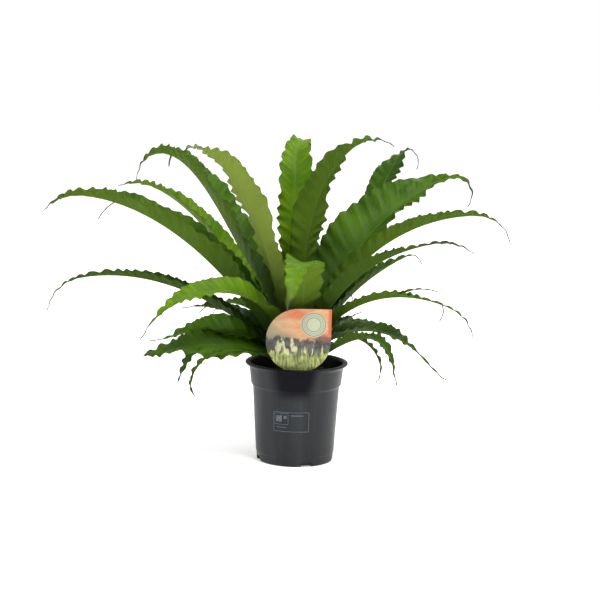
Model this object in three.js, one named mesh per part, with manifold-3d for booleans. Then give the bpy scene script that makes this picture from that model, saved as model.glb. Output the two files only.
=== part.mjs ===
// A potted fern: a wavy-edged bird's nest fern in a round nursery pot, with its plant label.
// Millimetres, +Z up. The origin is the centre of the pot's underside.
import * as THREE from 'three';
import { mergeVertices } from 'three/addons/utils/BufferGeometryUtils.js';
import Module from 'manifold-3d';

const wasm = await Module();
wasm.setup();

// Driving dimensions
const FIT_GAP = 0.3; // clearance between two pieces that rest on each other

const POT = {
  segments: 40,
  height: 117,
  rimRadius: 60,
  lipDepth: 5.4,
  collarTop: 55,
  collarFoot: 52.8,
  collarFootHeight: 91,
  bodyTop: 50.6,
  bodyTopHeight: 88,
  footRadius: 44.6,
  wall: 1.3,
  floorHeight: 4.4, // the inside of the floor
  channelHeight: 2.6, // the raised ring of the underside, between the foot and the centre pad
  padRadius: 18,
  footRing: 3.4,
  drainHoles: 8,
  drainRadius: 3.6,
  drainCircle: 30,
  notches: 4,
  notchWidth: 13,
  notchHeight: 5.6,
  notchTurn: 18, // degrees from the front to the first notch
};

const COMPOST = { top: 102, edgeTop: 100.6, flatRadius: 20 };

const CROWN = {
  segments: 20,
  stubRadius: 8,
  stubDepth: 15,
  footRadius: 16,
  neckRadius: 8.5,
  neckHeight: 140,
  top: 144,
};

const LABEL = {
  discRadius: 37.3,
  centreX: 1.5,
  centreZ: 149.6,
  backFace: 47, // from the pot's axis, level with the rim
  thickness: 0.8,
  tilt: 3, // degrees out at the top
  spikeTopWidth: 20,
  spikeFootWidth: 7,
  spikeFoot: 66, // height of the spike's lower end
};

const FROND = {
  steps: 14, // rings of points along a frond
  forkSteps: 4,
  substeps: 7, // path steps from one ring to the next
  thickness: 1.5,
  tipThickness: 1,
  petiole: 5.2, // width where a frond leaves the crown
  tipWidth: 2,
  standoff: 2.4, // from the crown's surface to a petiole's centre line
  hookStart: 0.8, // the share of the length where the tip starts to hook
};

// One row for each frond: the height of its seat on the crown, its heading (0 towards +X and 90
// towards +Y), the angle it rises at, how far it droops, the power that keeps the droop near the
// tip, the hook of the tip, its sideways sway, its length and greatest width, the fold of each half
// above the midrib, its roll, and the share of its length where it is widest.
const FRONDS = [
  // name, seat, heading, rise, droop, bend, hook, sway, length, width, fold, roll, belly
  ['frond_crest_1', 139, 108, 84, 76, 4, 62, -34, 281, 48, 24, 0, 0.6],
  ['frond_crest_2', 139, -40, 92, 78, 2.1, 58, 55, 292, 50, 24, -15, 0.5],
  ['frond_crest_3', 139, -150, 75, 64, 2.5, 44, 20, 306, 48, 24, 0, 0.6],
  ['frond_arch_1', 133, 130, 47, 148, 6, -10, 10, 398, 44, 26, 15, 0.5],
  ['frond_arch_2', 127, 55, 50, 1, 1, 166, -8, 350, 38, 22, 0, 0.6],
  ['frond_arch_3', 133, 30, 67, 66, 1.3, 138, 0, 347, 64, 38, 20, 0.42],
  ['frond_arch_4', 133, -82, 64, 190, 2.9, -60, -36, 240, 36, 20, 0, 0.45],
  ['frond_side_1', 127, 184, 53, 76, 2, 30, -36, 378, 56, 58, 0, 0.36],
  ['frond_side_2', 127, 154, 54, 60, 2.9, 18, 0, 313, 34, 50, 0, 0.4],
  ['frond_side_3', 127, -10, 74, 89, 1.2, 74, 0, 329, 38, 55, 0, 0.4],
  ['frond_side_4', 127, -45, 63, 65, 1.3, 39, 50, 274, 30, 50, 0, 0.45],
  ['frond_side_5', 127, -140, 76, 134, 1, 11, -34, 246, 38, 32, 0, 0.45],
  ['frond_skirt_1', 121, 170, 40, 62, 1.4, 56, 60, 327, 26, 50, 0, 0.4],
  ['frond_skirt_2', 121, -148, 33, 52, 0.7, -2, -55, 180, 46, 20, 0, 0.5],
  ['frond_skirt_3', 121, -30, 68, 108, 1, 46, 20, 255, 26, 40, 0, 0.45],
  ['frond_skirt_4', 121, 12, 70, 66, 1, 63, 45, 213, 28, 50, 0, 0.42],
  ['frond_skirt_5', 121, 33, 50, 36, 1, 0, 0, 92, 20, 35, 0, 0.5],
  ['frond_low_1', 115, 152, 58, 74, 0.9, 0, 0, 162, 24, 40, 0, 0.5],
  ['frond_low_2', 115, -172, 62, 96, 0.7, -34, -28, 174, 28, 36, 0, 0.5],
  ['frond_low_3', 115, -134, 24, 140, 2.8, 10, -25, 178, 14, 30, 0, 0.75],
  ['frond_low_4', 115, -42, 32, 133, 2.8, -46, -37, 193, 22, 35, 0, 0.5],
  ['frond_low_5', 115, -18, 72, 136, 0.8, -41, -12, 201, 30, 32, 0, 0.45],
  ['frond_low_6', 115, 5, 76, 184, 1, 24, -36, 137, 16, 35, 0, 0.5],
  ['frond_rear_1', 127, 88, 66, 100, 2.2, 40, 6, 300, 44, 25, 0, 0.5],
  ['frond_rear_2', 127, 112, 44, 84, 2, 40, -6, 250, 36, 28, 0, 0.5],
  ['frond_rear_3', 121, 68, 40, 76, 1.5, 40, 8, 225, 34, 28, 0, 0.5],
  ['frond_rear_4', 121, 98, 42, 84, 1.5, 45, -8, 235, 34, 28, 0, 0.5],
  ['frond_rear_5', 121, 130, 44, 80, 1.4, 40, 0, 175, 30, 30, 0, 0.5],
  ['frond_rear_6', 115, 52, 34, 76, 1.4, 50, 6, 180, 28, 30, 0, 0.5],
  ['frond_rear_7', 115, 86, 36, 80, 1.3, 50, -6, 230, 32, 30, 0, 0.5],
  ['frond_rear_8', 115, 118, 34, 80, 1.4, 50, 0, 200, 28, 30, 0, 0.5],
];

// Where a frond divides: the share of its length, the turn and the lift of the branch from the
// frond's own direction, how far the branch droops, and its length and width.
const FORKS = [
  // frond, at, turn, lift, droop, length, width
  ['frond_side_1', 0.74, 0, -45, 30, 34, 7],
  ['frond_skirt_2', 0.72, 20, -42, 25, 40, 14],
  ['frond_skirt_3', 0.6, -8, 28, 45, 48, 9],
  ['frond_low_1', 0.82, 6, -35, 10, 24, 6],
  ['frond_low_5', 0.5, -20, -50, 20, 22, 7],
];

const COLOURS = {
  pot: 0x3a3d40,
  compost: 0x2b2019,
  crown: 0x3c2d1c,
  label: 0xe8a877,
  frond: 0x3f7a1c,
};

const rad = THREE.MathUtils.degToRad;

function namedMesh(name, geometry, color, roughness) {
  const finish = new THREE.MeshStandardMaterial({ color, roughness, metalness: 0 });
  const mesh = new THREE.Mesh(geometry, finish);
  mesh.name = name;
  return mesh;
}

// Solids for cutting and joining
function toSolid(geometry) {
  const bare = geometry.clone();
  bare.deleteAttribute('normal');
  bare.deleteAttribute('uv');
  const merged = mergeVertices(bare, 1e-4);
  return new wasm.Manifold(new wasm.Mesh({
    numProp: 3,
    vertProperties: new Float32Array(merged.attributes.position.array),
    triVerts: new Uint32Array(merged.index.array),
  }));
}

function toGeometry(solid) {
  const { vertProperties, triVerts } = solid.getMesh();
  const geometry = new THREE.BufferGeometry();
  geometry.setAttribute('position', new THREE.BufferAttribute(vertProperties, 3));
  geometry.setIndex(new THREE.BufferAttribute(triVerts, 1));
  return geometry;
}

function cut(geometry, cutters) {
  return toGeometry(cutters.reduce((solid, c) => solid.subtract(toSolid(c)), toSolid(geometry)));
}

// A solid of revolution about +Z from an outline of [radius, height] points.
function turned(outline, segments) {
  const points = outline.map(([radius, height]) => new THREE.Vector2(radius, height));
  return new THREE.LatheGeometry(points, segments).rotateX(Math.PI / 2);
}

function upright(radius, bottom, top, segments = 20) {
  const rod = new THREE.CylinderGeometry(radius, radius, top - bottom, segments);
  return rod.rotateX(Math.PI / 2).translate(0, 0, (top + bottom) / 2);
}

// Pot
function bodyRadius(z) {
  return THREE.MathUtils.mapLinear(z, 0, POT.bodyTopHeight, POT.footRadius, POT.bodyTop);
}

function collarRadius(z) {
  const top = POT.height - POT.lipDepth;
  return THREE.MathUtils.mapLinear(z, POT.collarFootHeight, top, POT.collarFoot, POT.collarTop);
}

function potGeometry() {
  const lipFoot = POT.height - POT.lipDepth;
  const innerFoot = POT.footRadius - POT.wall;
  const shell = turned([
    [0, 0],
    [POT.padRadius, 0],
    [POT.padRadius + 1.2, POT.channelHeight],
    [innerFoot - POT.footRing, POT.channelHeight],
    [innerFoot - POT.footRing + 1.2, 0],
    [POT.footRadius - 1.6, 0],
    [POT.footRadius - 0.5, 0.6],
    [bodyRadius(2) - 0.1, 2],
    [bodyRadius(10) - 0.1, 10],
    [bodyRadius(11) + 0.4, 11],
    [POT.bodyTop, POT.bodyTopHeight],
    [POT.collarFoot, POT.collarFootHeight],
    [POT.collarTop, lipFoot],
    [POT.rimRadius - 1.4, lipFoot],
    [POT.rimRadius - 0.2, lipFoot + 1],
    [POT.rimRadius, POT.height - 2],
    [POT.rimRadius - 1, POT.height - 0.5],
    [POT.rimRadius - 2.4, POT.height],
    [POT.collarTop + 0.4, POT.height - 0.3],
    [POT.collarTop - POT.wall + 0.3, POT.height - 2.4],
    [POT.collarFoot - POT.wall, POT.collarFootHeight],
    [POT.bodyTop - POT.wall, POT.bodyTopHeight - 1],
    [bodyRadius(9) - POT.wall, 9],
    [innerFoot - 2.4, POT.floorHeight],
    [0, POT.floorHeight],
  ], POT.segments);
  const cutters = [];
  for (let i = 0; i < POT.drainHoles; i += 1) {
    const angle = (2 * Math.PI * (i + 0.5)) / POT.drainHoles;
    const hole = upright(POT.drainRadius, -1, POT.floorHeight + 1);
    cutters.push(hole.translate(
      POT.drainCircle * Math.cos(angle),
      POT.drainCircle * Math.sin(angle),
      0,
    ));
  }
  for (let i = 0; i < POT.notches; i += 1) {
    const notch = new THREE.BoxGeometry(10, POT.notchWidth, 2 * POT.notchHeight);
    notch.translate(POT.footRadius + 3.8, 0, 0);
    cutters.push(notch.rotateZ(rad(POT.notchTurn - 90 + (360 * i) / POT.notches)));
  }
  return cut(shell, cutters);
}

// Compost, with a socket for the crown's root stub and a slot for the label's spike
function compostGeometry() {
  const under = POT.floorHeight + FIT_GAP;
  const clear = POT.wall + FIT_GAP;
  const block = turned([
    [0, under],
    [POT.footRadius - clear - POT.wall - 2.4, under],
    [bodyRadius(9) - clear, 9 + FIT_GAP],
    [POT.bodyTop - clear, POT.bodyTopHeight - 1],
    [POT.collarFoot - clear, POT.collarFootHeight + FIT_GAP],
    [collarRadius(COMPOST.edgeTop) - clear, COMPOST.edgeTop],
    [collarRadius(COMPOST.edgeTop) - 8, COMPOST.edgeTop + 0.4],
    [COMPOST.flatRadius, COMPOST.top],
    [0, COMPOST.top],
  ], POT.segments);
  const socket = upright(
    CROWN.stubRadius + FIT_GAP,
    COMPOST.top - CROWN.stubDepth - FIT_GAP,
    COMPOST.top + 1,
  );
  return cut(block, [socket, labelGeometry(FIT_GAP)]);
}

// Crown: the short upright stem that every frond grows from
function crownRadius(z) {
  const { footRadius, neckRadius, neckHeight } = CROWN;
  return THREE.MathUtils.mapLinear(z, COMPOST.top, neckHeight, footRadius, neckRadius);
}

function crownGeometry() {
  const foot = COMPOST.top + FIT_GAP;
  return turned([
    [0, COMPOST.top - CROWN.stubDepth],
    [CROWN.stubRadius, COMPOST.top - CROWN.stubDepth],
    [CROWN.stubRadius, foot],
    [crownRadius(foot), foot],
    [CROWN.neckRadius, CROWN.neckHeight],
    [CROWN.neckRadius * 0.7, (CROWN.neckHeight + 2 * CROWN.top) / 3],
    [0, CROWN.top],
  ], CROWN.segments);
}

// Label: a disc with one square corner and a spike. A margin grows it into the shape of its slot.
function labelGeometry(margin = 0) {
  const { discRadius, centreX, centreZ } = LABEL;
  const half = LABEL.spikeTopWidth / 2 + margin;
  const reach = discRadius + margin;
  const meet = Math.acos(half / reach);
  const footHalf = LABEL.spikeFootWidth / 2 + margin;
  const shape = new THREE.Shape();
  shape.moveTo(centreX - footHalf, LABEL.spikeFoot - margin);
  shape.lineTo(centreX + footHalf, LABEL.spikeFoot - margin);
  shape.absarc(centreX, centreZ, reach, -meet, 0, false);
  shape.lineTo(centreX + reach, centreZ + reach);
  shape.absarc(centreX, centreZ, reach, Math.PI / 2, Math.PI + meet, false);
  const depth = LABEL.thickness + 2 * margin;
  const card = new THREE.ExtrudeGeometry(shape, { depth, bevelEnabled: false, curveSegments: 16 });
  card.translate(0, -POT.height, -margin).rotateX(Math.PI / 2 + rad(LABEL.tilt));
  return card.translate(0, -LABEL.backFace, POT.height);
}

// Fronds
function directionOn(row, t) {
  const [, , heading, rise, droop, bend, hook, sway] = row;
  const hooked = hook * Math.max(0, (t - FROND.hookStart) / (1 - FROND.hookStart)) ** 1.5;
  return { elevation: rise - droop * t ** bend - hooked, azimuth: heading + sway * t * t };
}

function asVectors({ elevation, azimuth }) {
  const level = Math.cos(rad(elevation));
  const cos = Math.cos(rad(azimuth));
  const sin = Math.sin(rad(azimuth));
  return {
    tangent: new THREE.Vector3(level * cos, level * sin, Math.sin(rad(elevation))),
    side: new THREE.Vector3(-sin, cos, 0),
  };
}

// The rings of a path that starts at a point and follows a direction given for each share of it.
function ringsAlong(start, length, steps, direction) {
  const total = steps * FROND.substeps;
  const position = start.clone();
  const rings = [];
  for (let i = 0; i <= total; i += 1) {
    if (i % FROND.substeps === 0) {
      rings.push({ t: i / total, centre: position.clone(), ...asVectors(direction(i / total)) });
    }
    const step = asVectors(direction((i + 0.5) / total)).tangent;
    position.addScaledVector(step, length / total);
  }
  return rings;
}

function frondRings(row) {
  const [, seat, heading, , , , , , length] = row;
  const reach = crownRadius(seat) + FROND.standoff;
  const start = asVectors({ elevation: 0, azimuth: heading }).tangent.multiplyScalar(reach);
  start.z = seat;
  return ringsAlong(start, length, FROND.steps, (t) => directionOn(row, t));
}

function bladeWidth(t, width, belly) {
  const opening = t < belly;
  const share = opening ? t / belly : (1 - t) / (1 - belly);
  const narrow = opening ? FROND.petiole : FROND.tipWidth;
  const swell = Math.sin((share * Math.PI) / 2) ** (opening ? 1.2 : 1.25);
  return narrow + (width - narrow) * swell;
}

// A box two wide and many long, bent along the rings and folded up along its midrib.
function bladeGeometry(rings, widthAt, fold, roll) {
  const steps = rings.length - 1;
  const blade = new THREE.BoxGeometry(2, steps, 2, 2, steps, 1);
  const corners = blade.attributes.position;
  for (let i = 0; i < corners.count; i += 1) {
    const { t, centre, tangent, side } = rings[Math.round(corners.getY(i) + steps / 2)];
    const across = side.clone().applyAxisAngle(tangent, rad(roll) * Math.min(1, t * 3));
    const up = new THREE.Vector3().crossVectors(tangent, across);
    const reach = (corners.getX(i) * widthAt(t)) / 2;
    const thickness = THREE.MathUtils.lerp(FROND.thickness, FROND.tipThickness, t);
    const lift = Math.abs(reach) * Math.sin(rad(fold)) + (corners.getZ(i) * thickness) / 2;
    const point = centre.clone().addScaledVector(across, -reach * Math.cos(rad(fold)));
    point.addScaledVector(up, lift);
    corners.setXYZ(i, point.x, point.y, point.z);
  }
  return blade;
}

function forkGeometry(row, [, at, turn, lift, droop, length, width]) {
  const [, , , , , , , , , , fold, roll] = row;
  const parent = frondRings(row);
  const start = parent[Math.round(at * FROND.steps)];
  const leaving = directionOn(row, start.t);
  const rings = ringsAlong(start.centre, length, FROND.forkSteps, (t) => ({
    elevation: leaving.elevation + lift - droop * t,
    azimuth: leaving.azimuth + turn,
  }));
  const taper = (t) => THREE.MathUtils.lerp(width, FROND.tipWidth, t);
  return bladeGeometry(rings, taper, fold, roll);
}

function frondGeometry(row) {
  const [name, , , , , , , , , width, fold, roll, belly] = row;
  const blade = bladeGeometry(frondRings(row), (t) => bladeWidth(t, width, belly), fold, roll);
  const forks = FORKS.filter(([frond]) => frond === name);
  if (forks.length === 0) return blade;
  const branches = forks.map((fork) => toSolid(forkGeometry(row, fork)));
  return toGeometry(branches.reduce((solid, branch) => solid.add(branch), toSolid(blade)));
}

const fern = new THREE.Group();
fern.add(
  namedMesh('pot', potGeometry(), COLOURS.pot, 0.38),
  namedMesh('compost', compostGeometry(), COLOURS.compost, 0.95),
  namedMesh('crown', crownGeometry(), COLOURS.crown, 0.9),
  namedMesh('plant_label', labelGeometry(), COLOURS.label, 0.35),
);
for (const row of FRONDS) {
  fern.add(namedMesh(row[0], frondGeometry(row), COLOURS.frond, 0.45));
}

export default fern;
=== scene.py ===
"""Looks of a potted bird's nest fern: wavy fronds, crown, compost, nursery pot and plant label.

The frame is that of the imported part: +Z up, -Y towards the front, and the origin at the centre of the
pot's underside. Each sub-assembly is a class that holds its sizes in millimetres and degrees, builds
its meshes in metres and dresses them. Each finish is a frozen class that builds its material, and
its patterns and the studio are in metres.
"""

import logging
import math
from collections.abc import Callable
from dataclasses import dataclass, field
from enum import Enum

import bmesh
import bpy
import numpy as np
from mathutils import Matrix, Vector


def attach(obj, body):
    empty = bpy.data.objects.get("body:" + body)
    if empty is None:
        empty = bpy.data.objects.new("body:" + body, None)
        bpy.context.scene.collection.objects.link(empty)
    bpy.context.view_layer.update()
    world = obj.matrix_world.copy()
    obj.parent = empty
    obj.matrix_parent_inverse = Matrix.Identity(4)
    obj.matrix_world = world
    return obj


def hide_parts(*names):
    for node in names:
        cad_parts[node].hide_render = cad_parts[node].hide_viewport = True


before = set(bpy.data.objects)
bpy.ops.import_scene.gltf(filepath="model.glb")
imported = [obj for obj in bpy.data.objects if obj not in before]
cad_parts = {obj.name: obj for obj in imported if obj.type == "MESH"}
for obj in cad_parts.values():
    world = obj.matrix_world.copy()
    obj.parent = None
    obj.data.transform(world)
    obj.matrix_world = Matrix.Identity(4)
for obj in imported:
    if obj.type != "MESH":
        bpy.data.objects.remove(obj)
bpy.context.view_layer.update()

MM = 0.001
LOG = logging.getLogger("fern")

Colour = tuple[float, float, float]
Faces = list[list[int]]
Outline = list[tuple[float, float]]
Socket = bpy.types.NodeSocket


def rgba(colour: Colour) -> tuple[float, float, float, float]:
    """Returns a colour with an alpha of one."""
    return (*colour, 1.0)


def smooth(low: float, high: float, value: np.ndarray) -> np.ndarray:
    """Returns a smooth step from 0 at low to 1 at high.

    Args:
        low: where the step starts.
        high: where the step ends.
        value: the values to be stepped.

    Returns:
        The share of the step that each value has made.
    """
    share = np.clip((value - low) / (high - low), 0.0, 1.0)
    return share * share * (3.0 - 2.0 * share)


class Bench:
    """A node tree that is being wired up."""

    def __init__(self, tree: bpy.types.NodeTree) -> None:
        """Keeps the tree that the nodes are added to."""
        self.tree = tree

    def put(self, socket: Socket, value: object) -> None:
        """Feeds an input.

        Args:
            socket: the input.
            value: an output to link to it, or the plain value it takes.
        """
        if isinstance(value, bpy.types.NodeSocket):
            self.tree.links.new(value, socket)
        elif value is not None:
            socket.default_value = value

    def node(self, kind: str, inputs: dict | None = None, **settings: object) -> bpy.types.Node:
        """Adds a node.

        Args:
            kind: the node's type.
            inputs: what feeds each input, by the input's name or index.
            settings: the node's own properties.

        Returns:
            The new node.
        """
        node = self.tree.nodes.new(kind)
        for key, value in settings.items():
            setattr(node, key, value)
        for key, value in (inputs or {}).items():
            self.put(node.inputs[key], value)
        return node

    def math(self, operation: str, *values: object, clamp: bool = False) -> Socket:
        """Returns the result of a Math node on its values."""
        given = dict(enumerate(values))
        return self.node("ShaderNodeMath", given, operation=operation, use_clamp=clamp).outputs[0]

    def times(self, a: object, b: object) -> Socket:
        """Returns a product."""
        return self.math("MULTIPLY", a, b)

    def plus(self, a: object, b: object, clamp: bool = False) -> Socket:
        """Returns a sum."""
        return self.math("ADD", a, b, clamp=clamp)

    def minus(self, a: object, b: object) -> Socket:
        """Returns a difference."""
        return self.math("SUBTRACT", a, b)

    def invert(self, value: object) -> Socket:
        """Returns one minus a value."""
        return self.math("SUBTRACT", 1.0, value)

    def affine(self, value: object, factor: object, offset: object) -> Socket:
        """Returns a value times a factor, plus an offset."""
        return self.math("MULTIPLY_ADD", value, factor, offset)

    def absolute(self, value: object) -> Socket:
        """Returns a value without its sign."""
        return self.math("ABSOLUTE", value)

    def length(self, a: object, b: object) -> Socket:
        """Returns the length of the hypotenuse over two sides."""
        return self.math("SQRT", self.plus(self.times(a, a), self.times(b, b)))

    def mix(self, share: object, a: object, b: object) -> Socket:
        """Mixes two colours.

        Args:
            share: how much of the second colour shows.
            a: the first colour.
            b: the second colour.

        Returns:
            The mixed colour.
        """
        node = self.node("ShaderNodeMix", data_type="RGBA")
        for index, value in ((0, share), (6, a), (7, b)):
            self.put(node.inputs[index], value)
        return node.outputs[2]

    def tint(self, colour: Socket, mask: Socket, strength: float, other: Colour) -> Socket:
        """Returns a colour with a part of another one laid over it where a mask is high."""
        return self.mix(self.times(mask, strength), colour, rgba(other))

    def step(self, value: object, low: float, high: float) -> Socket:
        """Returns a smooth step of a value, from 0 at low to 1 at high."""
        inputs = {"Value": value, "From Min": low, "From Max": high}
        return self.node("ShaderNodeMapRange", inputs, interpolation_type="SMOOTHSTEP").outputs[0]

    def noise(self, vector: object, scale: float, detail: float = 3.0) -> Socket:
        """Returns a noise value around a half."""
        inputs = {"Vector": vector, "Scale": scale, "Detail": detail}
        return self.node("ShaderNodeTexNoise", inputs).outputs["Fac"]

    def stretch(self, vector: object, scale: tuple[float, float, float]) -> Socket:
        """Returns a vector scaled by a different amount along each axis."""
        inputs = {0: vector, 1: scale}
        return self.node("ShaderNodeVectorMath", inputs, operation="MULTIPLY").outputs[0]

    def attribute(self, name: str) -> Socket:
        """Returns a number stored on the mesh's points."""
        return self.node("ShaderNodeAttribute", attribute_name=name).outputs["Fac"]

    def place(self) -> Socket:
        """Returns the place on the object, in metres."""
        return self.node("ShaderNodeTexCoord").outputs["Object"]

    def map(self, name: str) -> tuple[Socket, Socket]:
        """Reads a UV map.

        Args:
            name: the map's name.

        Returns:
            Its two coordinates.
        """
        source = self.node("ShaderNodeUVMap", uv_map=name).outputs[0]
        parts = self.node("ShaderNodeSeparateXYZ", {0: source})
        return parts.outputs[0], parts.outputs[1]

    def effect(self, group: bpy.types.NodeTree, inputs: dict) -> bpy.types.Node:
        """Returns a node that places a shared effect with its own values."""
        return self.node("ShaderNodeGroup", inputs, node_tree=group)

    def mottle(self, vector: Socket, scale: float, low: float, high: float) -> Socket:
        """Returns the mask of soft patches between two noise levels."""
        inputs = {"Vector": vector, "Scale": scale, "Low": low, "High": high}
        return self.effect(EFFECTS.mottle, inputs).outputs["Mask"]

    def specks(self, vector: Socket, scale: float, size: float, share: float) -> Socket:
        """Returns the mask of scattered specks."""
        inputs = {"Vector": vector, "Scale": scale, "Size": size, "Share": share}
        return self.effect(EFFECTS.specks, inputs).outputs["Mask"]

    def grain(self, vector: Socket, scale: float, coarse: float) -> Socket:
        """Returns the height of a fine grain."""
        inputs = {"Vector": vector, "Scale": scale, "Coarse": coarse}
        return self.effect(EFFECTS.grain, inputs).outputs["Height"]

    def bump(self, height: object, distance: float, strength: float = 1.0) -> Socket:
        """Returns the normal of a surface with this height on it."""
        inputs = {"Height": height, "Distance": distance, "Strength": strength}
        return self.node("ShaderNodeBump", inputs).outputs[0]


def new_group(name: str, inputs: dict[str, object], outputs: dict[str, str]
              ) -> tuple[bpy.types.NodeTree, Bench, bpy.types.Node, bpy.types.Node]:
    """Starts a shared effect as a node group.

    Args:
        name: the group's name.
        inputs: the default of each input, a number or "vector".
        outputs: the kind of each output, "Float" or "Color".

    Returns:
        The group, a bench to wire it on, its input node and its output node.
    """
    group = bpy.data.node_groups.new(name, "ShaderNodeTree")
    for key, value in inputs.items():
        kind = "Vector" if value == "vector" else "Float"
        item = group.interface.new_socket(key, in_out="INPUT", socket_type="NodeSocket" + kind)
        if kind == "Float":
            item.default_value = value
    for key, kind in outputs.items():
        group.interface.new_socket(key, in_out="OUTPUT", socket_type="NodeSocket" + kind)
    bench = Bench(group)
    return group, bench, bench.node("NodeGroupInput"), bench.node("NodeGroupOutput")


class Effects:
    """The effects that more than one material uses, each built once."""

    def __init__(self) -> None:
        """Builds the node groups."""
        self.mottle = self._mottle()
        self.specks = self._specks()
        self.grain = self._grain()

    def _mottle(self) -> bpy.types.NodeTree:
        """Builds soft uneven patches.

        Returns:
            The group. Its mask runs from 0 to 1 between two noise levels.
        """
        group, bench, given, put_out = new_group(
            "soft_mottle",
            {"Vector": "vector", "Scale": 20.0, "Low": 0.35, "High": 0.65},
            {"Mask": "Float"},
        )
        patches = bench.noise(given.outputs["Vector"], given.outputs["Scale"], 4.0)
        mask = bench.node("ShaderNodeMapRange", {
            "Value": patches,
            "From Min": given.outputs["Low"],
            "From Max": given.outputs["High"],
        })
        bench.put(put_out.inputs["Mask"], mask.outputs[0])
        return group

    def _specks(self) -> bpy.types.NodeTree:
        """Builds scattered round specks: dust, crumbs and spots.

        Returns:
            The group. Its share says how many of the cells hold a speck.
        """
        group, bench, given, put_out = new_group(
            "scattered_specks",
            {"Vector": "vector", "Scale": 400.0, "Size": 0.25, "Share": 0.3},
            {"Mask": "Float"},
        )
        cells = bench.node("ShaderNodeTexVoronoi", {
            "Vector": given.outputs["Vector"],
            "Scale": given.outputs["Scale"],
        })
        near = bench.math("LESS_THAN", cells.outputs["Distance"], given.outputs["Size"])
        tint = bench.node("ShaderNodeSeparateColor", {0: cells.outputs["Color"]}).outputs[0]
        chosen = bench.math("LESS_THAN", tint, given.outputs["Share"])
        bench.put(put_out.inputs["Mask"], bench.times(near, chosen))
        return group

    def _grain(self) -> bpy.types.NodeTree:
        """Builds a fine grain in two sizes.

        Returns:
            The group. Its coarse input says how much of the wider grain is added.
        """
        group, bench, given, put_out = new_group(
            "fine_grain",
            {"Vector": "vector", "Scale": 900.0, "Coarse": 0.3},
            {"Height": "Float"},
        )
        fine = bench.noise(given.outputs["Vector"], given.outputs["Scale"], 2.0)
        wide = bench.times(given.outputs["Scale"], 0.18)
        coarse = bench.noise(given.outputs["Vector"], wide, 3.0)
        weighed = bench.times(coarse, given.outputs["Coarse"])
        bench.put(put_out.inputs["Height"], bench.plus(fine, weighed))
        return group


EFFECTS = Effects()


def start_material(name: str) -> tuple[bpy.types.Material, Bench, bpy.types.Node, bpy.types.Node]:
    """Starts a material.

    Args:
        name: the material's name.

    Returns:
        The material, its bench, its Principled shader and its output node.
    """
    material = bpy.data.materials.new(name)
    material.use_nodes = True
    bench = Bench(material.node_tree)
    nodes = material.node_tree.nodes
    return material, bench, nodes["Principled BSDF"], nodes["Material Output"]


class LeafTone(Enum):
    """How dark or bright a frond's green is: partly its own colour and partly painted light, darker for
    fronds that sit in shade and brighter for lit ones.
    """

    DEEP = "deep"
    MID = "mid"
    BRIGHT = "bright"
    OLIVE = "olive"


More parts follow.
